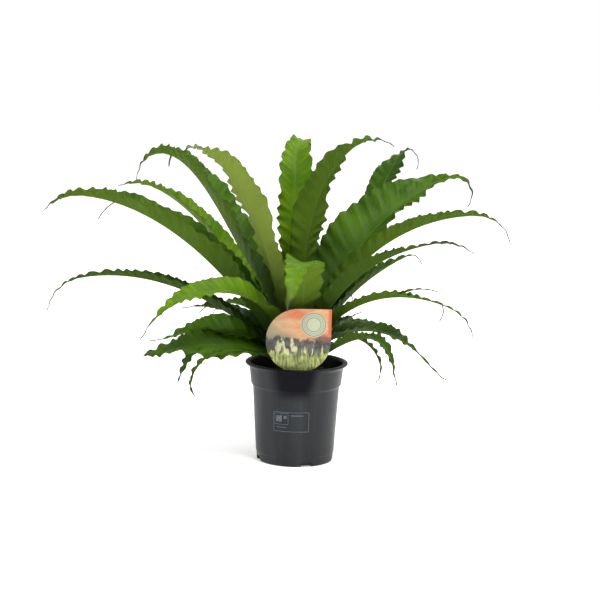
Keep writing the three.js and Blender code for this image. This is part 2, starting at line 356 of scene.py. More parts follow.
@dataclass(frozen=True)
class LeafFinish:
    """A fern's leaf: glossy above, paler and duller beneath, brown at the tail, with painted highlights on
    its crests and painted shade towards its base.
    """

    tone: LeafTone
    shade: Colour
    light: Colour
    under: Colour
    rib: Colour = (0.15, 0.21, 0.045)
    margin: Colour = (0.03, 0.05, 0.008)
    spot: Colour = (0.10, 0.09, 0.02)
    # Colour of the painted shade towards the frond's base.
    base: Colour = (0.012, 0.036, 0.002)
    foot: Colour = (0.045, 0.03, 0.014)
    tail: Colour = (0.050, 0.036, 0.024)
    glow: Colour = (0.24, 0.44, 0.01)
    vein_gap: float = 0.0024

    def build(self) -> bpy.types.Material:
        """Builds the leaf material.

        Returns:
            The material. It reads the points' along, edge, under and ridge values and the
            blade map, which runs along and across the blade in metres.
        """
        material, bench, shader, output = start_material(f"leaf_{self.tone.value}")
        along = bench.attribute("along")
        edge = bench.attribute("edge")
        under = bench.attribute("under")
        ridge = bench.attribute("ridge")
        run, span = bench.map("blade")
        place = bench.place()

        patches = bench.mottle(place, 26.0, 0.36, 0.66)
        # Painted highlight: the raised crests of the ruffles and ribs are coloured lighter.
        crest_highlight = bench.step(ridge, -0.2, 0.9)
        lit = bench.plus(bench.times(patches, 0.65), bench.times(crest_highlight, 0.4), clamp=True)
        upper = bench.mix(lit, rgba(self.shade), rgba(self.light))
        # The darker, shaded copy of the lower surface's colour, which shows away from the painted highlights.
        under_shaded = tuple(0.8 * channel for channel in self.under)
        lower = bench.mix(lit, rgba(under_shaded), rgba(self.under))
        colour = bench.mix(under, upper, lower)

        veins = self._veins(bench, run, span)
        colour = bench.tint(colour, veins, 0.22, self.rib)
        rib_mask = bench.invert(bench.step(bench.absolute(span), 0.0004, 0.0014))
        colour = bench.tint(colour, rib_mask, 0.35, self.rib)
        rim = bench.times(bench.step(edge, 0.93, 1.0), 0.45)
        colour = bench.mix(rim, colour, rgba(self.margin))
        spots = bench.specks(place, 160.0, 0.16, 0.16)
        colour = bench.tint(colour, spots, 0.35, self.spot)
        # Painted shade: the green darkens towards the frond's base, where the fronds crowd together in the
        # crown.
        base = bench.invert(bench.step(along, 0.1, 0.5))
        colour = bench.tint(colour, base, 0.8, self.base)
        colour = self._dry_ends(bench, colour, along, edge, place)

        grain = bench.grain(place, 700.0, 0.5)
        height = bench.plus(bench.times(veins, 0.8), bench.times(grain, 0.35))
        normal = bench.bump(height, 0.00035)
        rough = bench.plus(bench.times(under, 0.2), bench.affine(patches, 0.12, 0.36))
        bench.put(shader.inputs["Base Color"], colour)
        bench.put(shader.inputs["Roughness"], rough)
        bench.put(shader.inputs["Normal"], normal)
        shader.inputs["Specular IOR Level"].default_value = 0.12
        through = bench.node("ShaderNodeBsdfTranslucent", {
            "Color": bench.mix(0.6, colour, rgba(self.glow)), "Normal": normal,
        })
        blend = bench.node("ShaderNodeMixShader", {
            0: 0.22, 1: shader.outputs[0], 2: through.outputs[0],
        })
        bench.put(output.inputs["Surface"], blend.outputs[0])
        return material

    def _veins(self, bench: Bench, run: Socket, span: Socket) -> Socket:
        """Fine side veins that slant from the midrib to the edge.

        Args:
            bench: the material's bench.
            run: how far along the blade.
            span: how far from the midrib.

        Returns:
            The veins' mask.
        """
        slant = bench.times(bench.absolute(span), 0.55)
        turns = bench.times(bench.minus(run, slant), 2 * math.pi / self.vein_gap)
        wave = bench.math("SINE", turns)
        return bench.step(wave, 0.35, 1.0)

    def _dry_ends(self, bench: Bench, colour: Socket, along: Socket, edge: Socket,
                  place: Socket) -> Socket:
        """Browns the tail, its edges first, and the foot of the stalk.

        Args:
            bench: the material's bench.
            colour: the colour so far.
            along: the share of the frond's length.
            edge: 0 at the midrib and 1 at the edge.
            place: the place on the object.

        Returns:
            The colour with its dry ends.
        """
        uneven = bench.mottle(place, 90.0, 0.2, 0.8)
        reach = bench.plus(along, bench.times(edge, 0.05))
        reach = bench.plus(reach, bench.times(uneven, 0.06))
        dry = bench.step(reach, 0.93, 1.06)
        browned = bench.mix(dry, colour, rgba(self.tail))
        foot = bench.invert(bench.step(along, 0.0, 0.07))
        return bench.tint(browned, foot, 0.85, self.foot)


# Four copies of the leaf at different brightness: the darker copies are partly painted shade, the brighter
# ones partly painted light.
LEAF_FINISHES = (
    LeafFinish(LeafTone.DEEP, (0.014, 0.050, 0.001), (0.045, 0.120, 0.003), (0.050, 0.105, 0.004)),
    LeafFinish(LeafTone.MID, (0.028, 0.085, 0.001), (0.092, 0.210, 0.004), (0.088, 0.170, 0.006)),
    LeafFinish(LeafTone.BRIGHT, (0.066, 0.165, 0.002), (0.190, 0.345, 0.009), (0.145, 0.245, 0.014)),
    LeafFinish(LeafTone.OLIVE, (0.095, 0.175, 0.008), (0.290, 0.400, 0.045), (0.255, 0.345, 0.050)),
)


@dataclass(frozen=True)
class PotFinish:
    """Satin black nursery plastic with soft upright bands of painted sheen, moulding streaks, a little dust
    and a painted shadow down the front.
    """

    plastic: Colour = (0.007, 0.008, 0.010)
    # This lighter plastic is painted sheen in soft bands, and moulding streaks, rather than wear.
    worn: Colour = (0.022, 0.024, 0.028)
    # Colour of the painted shadow below the rim.
    shadow_tint: Colour = (0.003, 0.003, 0.006)
    dust: Colour = (0.16, 0.14, 0.11)

    def build(self) -> bpy.types.Material:
        """Builds the pot's material.

        Returns:
            The material. It works from the place on the object alone.
        """
        material, bench, shader, _ = start_material("pot_plastic")
        place = bench.place()
        # Painted sheen: soft upright bands of lighter plastic stand for reflections of the lights; the finer
        # streaks are flow marks from the moulding.
        bands = bench.mottle(bench.stretch(place, (1.0, 1.0, 0.05)), 42.0, 0.38, 0.62)
        streaks = bench.mottle(bench.stretch(place, (1.0, 1.0, 0.06)), 140.0, 0.3, 0.7)
        clouds = bench.mottle(place, 30.0, 0.4, 0.75)
        specks = bench.specks(place, 420.0, 0.2, 0.06)
        sheen_bands_and_streaks = bench.affine(streaks, 0.3, bench.times(bands, 0.6))
        colour = bench.mix(sheen_bands_and_streaks, rgba(self.plastic), rgba(self.worn))
        colour = bench.tint(colour, specks, 0.3, self.dust)
        colour = bench.tint(colour, clouds, 0.03, self.dust)
        # Painted shadow of the rim and the label down the front: darker, and with less shine.
        damp = self._painted_shadow(bench, place, clouds)
        rough = bench.plus(bench.times(clouds, 0.12), bench.times(sheen_bands_and_streaks, 0.12))
        grain = bench.grain(place, 1400.0, 0.6)
        bench.put(shader.inputs["Base Color"], bench.mix(damp, colour, rgba(self.shadow_tint)))
        bench.put(shader.inputs["Roughness"], bench.plus(rough, 0.30))
        bench.put(shader.inputs["Specular IOR Level"], bench.affine(damp, -0.17, 0.24))
        bench.put(shader.inputs["Normal"], bench.bump(grain, 0.00012, 0.6))
        return material

    def _painted_shadow(self, bench: Bench, place: Socket, clouds: Socket) -> Socket:
        """A painted shadow that runs down the front from the rim, under the label: darker, and with less
        shine.

        Args:
            bench: the material's bench.
            place: the place on the object.
            clouds: uneven patches that break its edge.

        Returns:
            How deep the painted shadow is.
        """
        parts = bench.node("ShaderNodeSeparateXYZ", {0: place}).outputs
        aside = bench.absolute(bench.plus(parts[0], 0.001))
        aside = bench.affine(clouds, 0.006, aside)
        aside = bench.affine(parts[2], -0.25, aside)
        across = bench.invert(bench.step(aside, -0.010, 0.006))
        down = bench.step(parts[2], 0.076, 0.092)
        front = bench.math("LESS_THAN", parts[1], -0.03)
        return bench.times(bench.times(across, down), front)


@dataclass(frozen=True)
class InkFinish:
    """Pale blue-grey ink of the plain frame printed on the pot."""

    ink: Colour = (0.085, 0.115, 0.145)
    thin: Colour = (0.045, 0.065, 0.088)

    def build(self) -> bpy.types.Material:
        """Builds the ink's material.

        Returns:
            The material, with the ink worn thin in patches.
        """
        material, bench, shader, _ = start_material("pot_ink")
        worn = bench.mottle(bench.place(), 700.0, 0.4, 0.7)
        bench.put(shader.inputs["Base Color"], bench.mix(worn, rgba(self.ink), rgba(self.thin)))
        bench.put(shader.inputs["Roughness"], bench.plus(bench.times(worn, 0.1), 0.45))
        return material


@dataclass(frozen=True)
class CompostFinish:
    """Dark peaty crumbs with bark and a few pale grains."""

    damp: Colour = (0.010, 0.007, 0.005)
    dry: Colour = (0.085, 0.055, 0.032)
    bark: Colour = (0.20, 0.12, 0.06)
    grit: Colour = (0.5, 0.47, 0.40)

    def build(self) -> bpy.types.Material:
        """Builds the compost's material.

        Returns:
            The material, with clods, bark and grit.
        """
        material, bench, shader, _ = start_material("compost_crumbs")
        place = bench.place()
        clods = bench.mottle(place, 160.0, 0.35, 0.68)
        bark = bench.specks(place, 330.0, 0.42, 0.22)
        grit = bench.specks(place, 500.0, 0.3, 0.02)
        colour = bench.mix(clods, rgba(self.damp), rgba(self.dry))
        colour = bench.tint(colour, bark, 0.7, self.bark)
        colour = bench.tint(colour, grit, 0.8, self.grit)
        grain = bench.grain(place, 900.0, 1.4)
        bench.put(shader.inputs["Base Color"], colour)
        bench.put(shader.inputs["Roughness"], bench.plus(bench.times(clods, 0.15), 0.8))
        bench.put(shader.inputs["Normal"], bench.bump(grain, 0.0009))
        shader.inputs["Specular IOR Level"].default_value = 0.25
        return material


@dataclass(frozen=True)
class CrownFinish:
    """Brown papery scales and fibres of the stem."""

    old: Colour = (0.028, 0.017, 0.009)
    new: Colour = (0.13, 0.075, 0.032)

    def build(self) -> bpy.types.Material:
        """Builds the crown's material.

        Returns:
            The material, with upright fibres and older patches.
        """
        material, bench, shader, _ = start_material("crown_fibre")
        place = bench.place()
        fibres = bench.mottle(bench.stretch(place, (1.0, 1.0, 0.12)), 700.0, 0.3, 0.7)
        patches = bench.mottle(place, 120.0, 0.35, 0.7)
        share = bench.plus(bench.times(fibres, 0.5), bench.times(patches, 0.4), clamp=True)
        bench.put(shader.inputs["Base Color"], bench.mix(share, rgba(self.old), rgba(self.new)))
        bench.put(shader.inputs["Roughness"], bench.plus(bench.times(patches, 0.2), 0.65))
        bench.put(shader.inputs["Normal"], bench.bump(fibres, 0.0004))
        return material


@dataclass(frozen=True)
class LabelFinish:
    """A printed card: a warm evening sky over dark land and long grass, with a plain pale disc.

    The print map runs from -1 to 1 across the card's round part, sideways and upwards. A ring is its
    share of the disc's radius, its half width and its depth. A flower is its centre across and up,
    its half width, its half height and its lean.
    """

    cream: Colour = (0.31, 0.29, 0.15)
    salmon: Colour = (0.60, 0.25, 0.11)
    blaze: Colour = (0.58, 0.12, 0.03)
    haze: Colour = (0.64, 0.42, 0.23)
    smoke: Colour = (0.20, 0.18, 0.11)
    strip: Colour = (0.50, 0.09, 0.03)
    cloud: Colour = (0.11, 0.045, 0.035)
    slate: Colour = (0.016, 0.020, 0.020)
    dusk: Colour = (0.060, 0.040, 0.042)
    teal: Colour = (0.060, 0.085, 0.075)
    grass_light: Colour = (0.42, 0.47, 0.12)
    grass_dark: Colour = (0.030, 0.042, 0.012)
    blossom: Colour = (0.60, 0.57, 0.32)
    disc: Colour = (0.43, 0.44, 0.31)
    ring: Colour = (0.07, 0.10, 0.05)
    card: Colour = (0.80, 0.79, 0.75)
    disc_centre: tuple[float, float] = (0.46, 0.52)
    disc_radius: float = 0.40
    rings: tuple[tuple[float, float, float], ...] = (
        (0.9, 0.012, 0.75), (0.72, 0.07, 0.28), (0.54, 0.008, 0.65),
    )
    flowers: tuple[tuple[float, float, float, float, float], ...] = (
        (-0.60, -0.20, 0.10, 0.24, -0.3), (-0.46, -0.12, 0.07, 0.18, 0.4),
        (-0.20, -0.14, 0.08, 0.28, -0.2), (-0.10, -0.24, 0.10, 0.16, 0.5),
        (-0.34, -0.34, 0.12, 0.15, 0.2), (0.22, -0.34, 0.05, 0.16, 0.3),
        (0.44, -0.30, 0.04, 0.18, -0.3),
    )

    def build(self) -> bpy.types.Material:
        """Builds the printed card's material.

        Returns:
            The material. It reads the print map and the points' blank value, which is 1 on the
            card's unprinted back and edges.
        """
        material, bench, shader, _ = start_material("label_print")
        across, up = bench.map("print")
        place = bench.place()
        colour = self._sky(bench, across, up, place)
        colour = self._land_and_grass(bench, colour, up, place)
        colour = self._blossoms(bench, colour, across, up)
        colour = self._disc(bench, colour, across, up)
        colour = bench.mix(bench.attribute("blank"), colour, rgba(self.card))
        wear = bench.mottle(place, 60.0, 0.3, 0.8)
        bench.put(shader.inputs["Base Color"], colour)
        bench.put(shader.inputs["Roughness"], bench.plus(bench.times(wear, 0.12), 0.32))
        grain = bench.grain(place, 1200.0, 0.4)
        bench.put(shader.inputs["Normal"], bench.bump(grain, 0.00005, 0.5))
        return material

    def _sky(self, bench: Bench, across: Socket, up: Socket, place: Socket) -> Socket:
        """The sky: cream at one side, orange above, smoky near the land, red along one edge.

        Args:
            bench: the material's bench.
            across: the place across the print.
            up: the place up the print.
            place: the place on the object.

        Returns:
            The sky's colour.
        """
        slant = bench.affine(up, 0.6, across)
        sky = bench.mix(bench.step(slant, -0.8, 0.2), rgba(self.cream), rgba(self.salmon))
        middle = bench.invert(bench.step(bench.absolute(across), 0.05, 0.6))
        blaze = bench.times(bench.step(up, 0.5, 0.95), middle)
        sky = bench.mix(blaze, sky, rgba(self.blaze))
        streaks = bench.mottle(bench.stretch(place, (0.4, 1.0, 1.0)), 110.0, 0.45, 0.62)
        sky = bench.tint(sky, streaks, 0.6, self.haze)
        low = bench.invert(bench.step(up, 0.06, 0.42))
        left = bench.invert(bench.step(across, -0.5, 0.1))
        sky = bench.mix(bench.times(low, bench.affine(left, 0.7, 0.15)), sky, rgba(self.smoke))
        uneven = bench.affine(streaks, 0.12, up)
        bank = bench.invert(bench.step(uneven, 0.10, 0.30))
        bank = bench.times(bank, bench.step(across, 0.2, 0.7))
        sky = bench.tint(sky, bank, 0.85, self.cloud)
        strip = bench.times(bench.step(across, 0.88, 0.93), bench.step(up, 0.0, 0.3))
        return bench.tint(sky, strip, 0.85, self.strip)

    def _land_and_grass(self, bench: Bench, colour: Socket, up: Socket, place: Socket) -> Socket:
        """A dark band of far land, and yellow-green grass below it.

        Args:
            bench: the material's bench.
            colour: the colour behind.
            up: the place up the print.
            place: the place on the object.

        Returns:
            The colour with the land and the grass in front.
        """
        broken = bench.noise(bench.stretch(place, (1.0, 1.0, 0.5)), 130.0, 4.0)
        skyline = bench.affine(broken, -0.6, up)
        land = bench.invert(bench.step(skyline, -0.28, -0.14))
        patches = bench.mottle(place, 300.0, 0.44, 0.56)
        trees = bench.mottle(bench.stretch(place, (1.0, 1.0, 0.6)), 210.0, 0.52, 0.60)
        far = bench.mix(patches, rgba(self.slate), rgba(self.dusk))
        far = bench.mix(trees, far, rgba(self.teal))
        colour = bench.mix(bench.times(land, 0.95), colour, far)
        blades = bench.mottle(bench.stretch(place, (1.0, 1.0, 0.35)), 400.0, 0.40, 0.62)
        clumps = bench.mottle(place, 110.0, 0.3, 0.6)
        light = bench.times(bench.affine(clumps, 0.4, 0.6), bench.affine(blades, 0.75, 0.25))
        grass = bench.mix(light, rgba(self.grass_dark), rgba(self.grass_light))
        tips = bench.noise(bench.stretch(place, (1.0, 1.0, 0.2)), 260.0, 3.0)
        reach = bench.affine(tips, -1.1, up)
        mask = bench.invert(bench.step(reach, -0.96, -0.84))
        return bench.mix(mask, colour, grass)

    def _blossoms(self, bench: Bench, colour: Socket, across: Socket, up: Socket) -> Socket:
        """Pale upright flowers with ragged petals that stand above the grass.

        Args:
            bench: the material's bench.
            colour: the colour behind.
            across: the place across the print.
            up: the place up the print.

        Returns:
            The colour with the flowers in front.
        """
        ragged = bench.noise(bench.stretch(bench.place(), (1.0, 1.0, 0.45)), 420.0, 4.0)
        for x, z, wide, tall, lean in self.flowers:
            dz = bench.math("DIVIDE", bench.minus(up, z), tall)
            dx = bench.math("DIVIDE", bench.minus(across, x), wide)
            dx = bench.affine(dz, lean, dx)
            far = bench.length(dx, dz)
            edge = bench.affine(ragged, 2.2, far)
            mask = bench.invert(bench.step(edge, 1.5, 2.1))
            colour = bench.tint(colour, mask, 0.85, self.blossom)
        return colour

    def _disc(self, bench: Bench, colour: Socket, across: Socket, up: Socket) -> Socket:
        """A plain pale disc with two thin rings and a tinted band between them.

        Args:
            bench: the material's bench.
            colour: the colour behind.
            across: the place across the print.
            up: the place up the print.

        Returns:
            The colour with the disc in front.
        """
        dx = bench.minus(across, self.disc_centre[0])
        dz = bench.minus(up, self.disc_centre[1])
        far = bench.length(dx, dz)
        share = bench.math("DIVIDE", far, self.disc_radius)
        colour = bench.mix(bench.invert(bench.step(share, 0.98, 1.02)), colour, rgba(self.disc))
        for at, half, depth in self.rings:
            off = bench.absolute(bench.minus(share, at))
            line = bench.invert(bench.step(off, half, half + 0.05))
            colour = bench.tint(colour, line, depth, self.ring)
        return colour


@dataclass
class Shell:
    """Points and faces of a mesh that is being gathered from several closed bodies."""

    points: list[np.ndarray] = field(default_factory=list)
    faces: Faces = field(default_factory=list)
    values: dict[str, list[np.ndarray]] = field(default_factory=dict)
    count: int = 0

    def add(self, points: np.ndarray, faces: Faces, **values: np.ndarray) -> None:
        """Adds a body.

        Args:
            points: its points, one in each row.
            faces: its faces, as indices into its own points.
            values: numbers for its points, by name.
        """
        self.points.append(points)
        self.faces += [[corner + self.count for corner in face] for face in faces]
        for key, value in values.items():
            self.values.setdefault(key, []).append(value)
        self.count += len(points)

    def build(self, name: str, maps: dict[str, tuple[str, str]] | None = None) -> bpy.types.Object:
        """Makes the object.

        Args:
            name: the object's name.
            maps: UV maps to make, each from two of the points' values.

        Returns:
            The new object, smooth shaded and in the scene.
        """
        mesh = bpy.data.meshes.new(name)
        mesh.from_pydata(np.concatenate(self.points).tolist(), [], self.faces)
        joined = {key: np.concatenate(value) for key, value in self.values.items()}
        corners = np.empty(len(mesh.loops), np.int32)
        mesh.loops.foreach_get("vertex_index", corners)
        used = set()
        for map_name, (u, v) in (maps or {}).items():
            layer = mesh.uv_layers.new(name=map_name)
            pairs = np.stack([joined[u][corners], joined[v][corners]], axis=1)
            layer.data.foreach_set("uv", pairs.ravel().astype(np.float32))
            used |= {u, v}
        for key, value in joined.items():
            if key not in used:
                layer = mesh.attributes.new(key, "FLOAT", "POINT")
                layer.data.foreach_set("value", value.astype(np.float32))
        mesh.shade_smooth()
        piece = bpy.data.objects.new(name, mesh)
        bpy.context.scene.collection.objects.link(piece)
        return piece


def tube_faces(rows: int, loop: int, reverse: bool = False) -> Faces:
    """The faces of a closed body whose points are loops, one after the other.

    Args:
        rows: the number of loops.
        loop: the number of points in each.
        reverse: whether each face runs the other way round.

    Returns:
        The faces between the loops, then the first and the last end.
    """
    row = np.arange(rows - 1)[:, None] * loop
    here = np.arange(loop)[None, :]
    after = (here + 1) % loop
    quads = np.stack([row + here, row + after, row + loop + after, row + loop + here], axis=2)
    faces = quads.reshape(-1, 4).tolist()
    faces += [list(range(loop))[::-1], list(range((rows - 1) * loop, rows * loop))]
    return [face[::-1] for face in faces] if reverse else faces


def turned_shell(outline: Outline, segments: int) -> tuple[np.ndarray, Faces]:
    """A closed body of revolution about +Z.

    Args:
        outline: points of radius and height, from the axis and back to it.
        segments: how many steps go round.

    Returns:
        The points and the faces.
    """
    angles = np.linspace(0.0, 2.0 * math.pi, segments, endpoint=False)
    ring = np.stack([np.cos(angles), np.sin(angles)], axis=1)
    rings = [
        np.concatenate([ring * radius, np.full((segments, 1), height)], axis=1)
        for radius, height in outline[1:-1]
    ]
    first, last = len(rings) * segments, len(rings) * segments + 1
    points = np.concatenate(rings + [[[0, 0, outline[0][1]], [0, 0, outline[-1][1]]]])
    top = (len(rings) - 1) * segments
    faces = []
    for here in range(segments):
        after = (here + 1) % segments
        faces.append([here, first, after])
        faces.append([top + here, top + after, last])
        for low in range(0, top, segments):
            high = low + segments
            faces.append([low + here, low + after, high + after, high + here])
    return points, faces


def point_outwards(piece: bpy.types.Object) -> None:
    """Points every face of a closed piece outwards.

    Args:
        piece: the piece.
    """
    shape = bmesh.new()
    shape.from_mesh(piece.data)
    bmesh.ops.recalc_face_normals(shape, faces=shape.faces)
    shape.to_mesh(piece.data)
    shape.free()


def finish_piece(piece: bpy.types.Object, material: bpy.types.Material,
                 replaces: str | None = None) -> None:
    """Dresses a piece and ties it to the frame.

    Args:
        piece: the piece.
        material: its finish.
        replaces: the node that it stands for.
    """
    piece.data.materials.clear()
    piece.data.materials.append(material)
    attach(piece, "root")
    if replaces:
        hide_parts(replaces)
    corners = np.array([list(corner) for corner in piece.bound_box])
    size = " x ".join(f"{side / MM:.0f}" for side in np.ptp(corners, axis=0))
    LOG.info("%s: %d faces, %s mm", piece.name, len(piece.data.polygons), size)


@dataclass(frozen=True)
class Frond:
    """A frond: where it grows from, the line that it follows, its blade and its tone.

    The stalk is the width at its foot, and the opening says how slowly the blade widens. The bias
    makes one half wider than the other, and the curl turns that half's edge back. The strip is
    the width that is left between the blade and the thread at its end, and the twist turns it.
    """

    name: str
    seat: float
    heading: float
    rise: float
    droop: float
    bend: float
    hook: float
    sway: float
    length: float
    width: float
    fold: float
    roll: float
    belly: float
    tone: LeafTone
    tail: float = 0.91
    stalk: float = 11.0
    opening: float = 0.65
    bias: float = 0.0
    curl: float = 0.0
    strip: float = 0.0
    twist: float = 0.0


@dataclass(frozen=True)
class Fork:
    """A branch or a small side tail of a frond."""

    frond: str
    at: float
    turn: float
    lift: float
    droop: float
    length: float
    width: float


DEEP, MID, BRIGHT, OLIVE = LeafTone.DEEP, LeafTone.MID, LeafTone.BRIGHT, LeafTone.OLIVE

FRONDS = (
    Frond("crest_1", 139, 106, 84, 76, 4, 100, -40, 281, 46, 22, 0, 0.6, BRIGHT, 1.04, bias=0.06),
    Frond("crest_2", 139, -40, 94, 78, 2.1, 58, 50, 296, 54, 16, -15, 0.66, MID, 0.96, opening=1.4),
    Frond("crest_3", 139, -150, 75, 64, 2.5, 44, 20, 306, 52, 16, 0, 0.6, OLIVE, 0.97, strip=3.0),
    Frond("arch_1", 133, 130, 47, 148, 6, -10, 10, 398, 62, 44, 20, 0.45, MID, 0.95, strip=3.0),
    Frond("arch_2", 127, 55, 50, 1, 1, 166, -8, 350, 40, 15, 0, 0.72, DEEP, 0.9, opening=14.0),
    Frond("arch_3", 133, 30, 67, 66, 1.3, 138, 0, 347, 74, 34, 20, 0.42, MID, 0.83, bias=-0.26,
          opening=1.2, curl=5.0, strip=5.0, twist=50.0),
    Frond("arch_4", 133, -82, 64, 190, 2.9, -60, -36, 238, 46, 20, 0, 0.5, BRIGHT, 1.0),
    Frond("side_1", 127, 184, 53, 76, 2, 30, -36, 378, 60, 54, 0, 0.36, MID, 0.96, strip=3.5, twist=30.0),
    Frond("side_2", 127, 154, 54, 60, 2.9, 18, 0, 313, 38, 46, 0, 0.4, BRIGHT, 0.98, strip=3.5, twist=30.0),
    Frond("side_3", 127, -10, 74, 89, 1.2, 74, 0, 329, 40, 55, 0, 0.4, MID, 0.93),
    Frond("side_4", 127, -45, 63, 65, 1.3, 39, 50, 274, 34, 48, 0, 0.45, DEEP, 0.78, strip=5.0, twist=50.0),
    Frond("side_5", 127, -140, 76, 134, 1, 11, -34, 246, 44, 32, -25, 0.45, BRIGHT, 0.93),
    Frond("skirt_1", 121, 170, 40, 62, 1.4, 56, 60, 327, 26, 50, 0, 0.4, DEEP, strip=2.0),
    Frond("skirt_2", 121, -148, 33, 52, 0.7, -2, -55, 180, 66, 10, -15, 0.46, MID, 1.0, stalk=20.0),
    Frond("skirt_3", 121, -30, 68, 108, 1, 46, 20, 255, 26, 40, 0, 0.45, MID, 0.7, strip=4.5),
    Frond("skirt_4", 121, 12, 70, 66, 1, 63, 45, 213, 28, 50, 0, 0.42, DEEP),
    Frond("skirt_5", 121, 33, 50, 36, 1, 0, 0, 92, 20, 35, 0, 0.5, DEEP),
    Frond("low_1", 115, 152, 58, 74, 0.9, 0, 0, 162, 34, 30, 0, 0.5, DEEP, stalk=14.0),
    Frond("low_2", 115, -172, 62, 96, 0.7, -34, -28, 174, 46, 26, -15, 0.46, MID, stalk=18.0),
    Frond("low_3", 115, -134, 24, 140, 2.8, 10, -25, 178, 11, 30, 0, 0.82, DEEP, 1.0, stalk=2.2,
          opening=10.0),
    Frond("low_4", 115, -42, 32, 133, 2.8, -46, -37, 193, 22, 35, 0, 0.5, DEEP, strip=2.0),
    Frond("low_5", 115, -18, 72, 136, 0.8, -41, -12, 201, 42, 26, 0, 0.38, DEEP, 0.75, strip=4.0),
    Frond("low_6", 115, 5, 76, 184, 1, 24, -36, 137, 16, 35, 0, 0.5, DEEP),
    Frond("rear_1", 127, 88, 66, 100, 2.2, 40, 6, 300, 44, 25, 0, 0.5, MID),
    Frond("rear_2", 127, 112, 44, 84, 2, 40, -6, 250, 36, 28, 0, 0.5, DEEP),
    Frond("rear_3", 121, 68, 40, 76, 1.5, 40, 8, 225, 34, 28, 0, 0.5, MID),
    Frond("rear_4", 121, 98, 42, 84, 1.5, 45, -8, 235, 34, 28, 0, 0.5, BRIGHT),
    Frond("rear_5", 121, 130, 44, 80, 1.4, 40, 0, 175, 30, 30, 0, 0.5, MID),
    Frond("rear_6", 115, 52, 34, 76, 1.4, 50, 6, 180, 28, 30, 0, 0.5, DEEP),
    Frond("rear_7", 115, 86, 36, 80, 1.3, 50, -6, 230, 32, 30, 0, 0.5, MID),
    Frond("rear_8", 115, 118, 34, 80, 1.4, 50, 0, 200, 28, 30, 0, 0.5, DEEP),
)

FORKS = (
    Fork("side_1", 0.74, 0, -45, 30, 30, 2.4),
    Fork("skirt_2", 0.64, 20, -42, 25, 46, 26),
    Fork("skirt_3", 0.6, -8, 28, 45, 54, 9),
    Fork("low_1", 0.82, 6, -35, 10, 14, 4),
    Fork("low_5", 0.5, -20, -50, 20, 22, 7),
    Fork("arch_1", 0.79, 10, -75, 20, 16, 5),
    Fork("skirt_3", 0.8, 10, -50, 60, 20, 3),
)


@dataclass(frozen=True)
class Line:
    """The line that a blade follows.

    Each station has its share of the length, its run in millimetres, its centre, and the directions
    across and up from the blade there.
    """

    share: np.ndarray
    run: np.ndarray
    centre: np.ndarray
    across: np.ndarray
    up: np.ndarray


def directions(elevation: np.ndarray, azimuth: np.ndarray) -> tuple[np.ndarray, np.ndarray]:
    """Turns angles into directions.

    Args:
        elevation: degrees above the horizon.
        azimuth: degrees from +X towards +Y.

    Returns:
        The directions, and the level directions at a right angle to them.
    """
    lift, turn = np.radians(elevation), np.radians(azimuth)
    level = np.cos(lift)
    ahead = np.stack([level * np.cos(turn), level * np.sin(turn), np.sin(lift)], axis=1)
    side = np.stack([-np.sin(turn), np.cos(turn), np.zeros_like(turn)], axis=1)
    return ahead, side


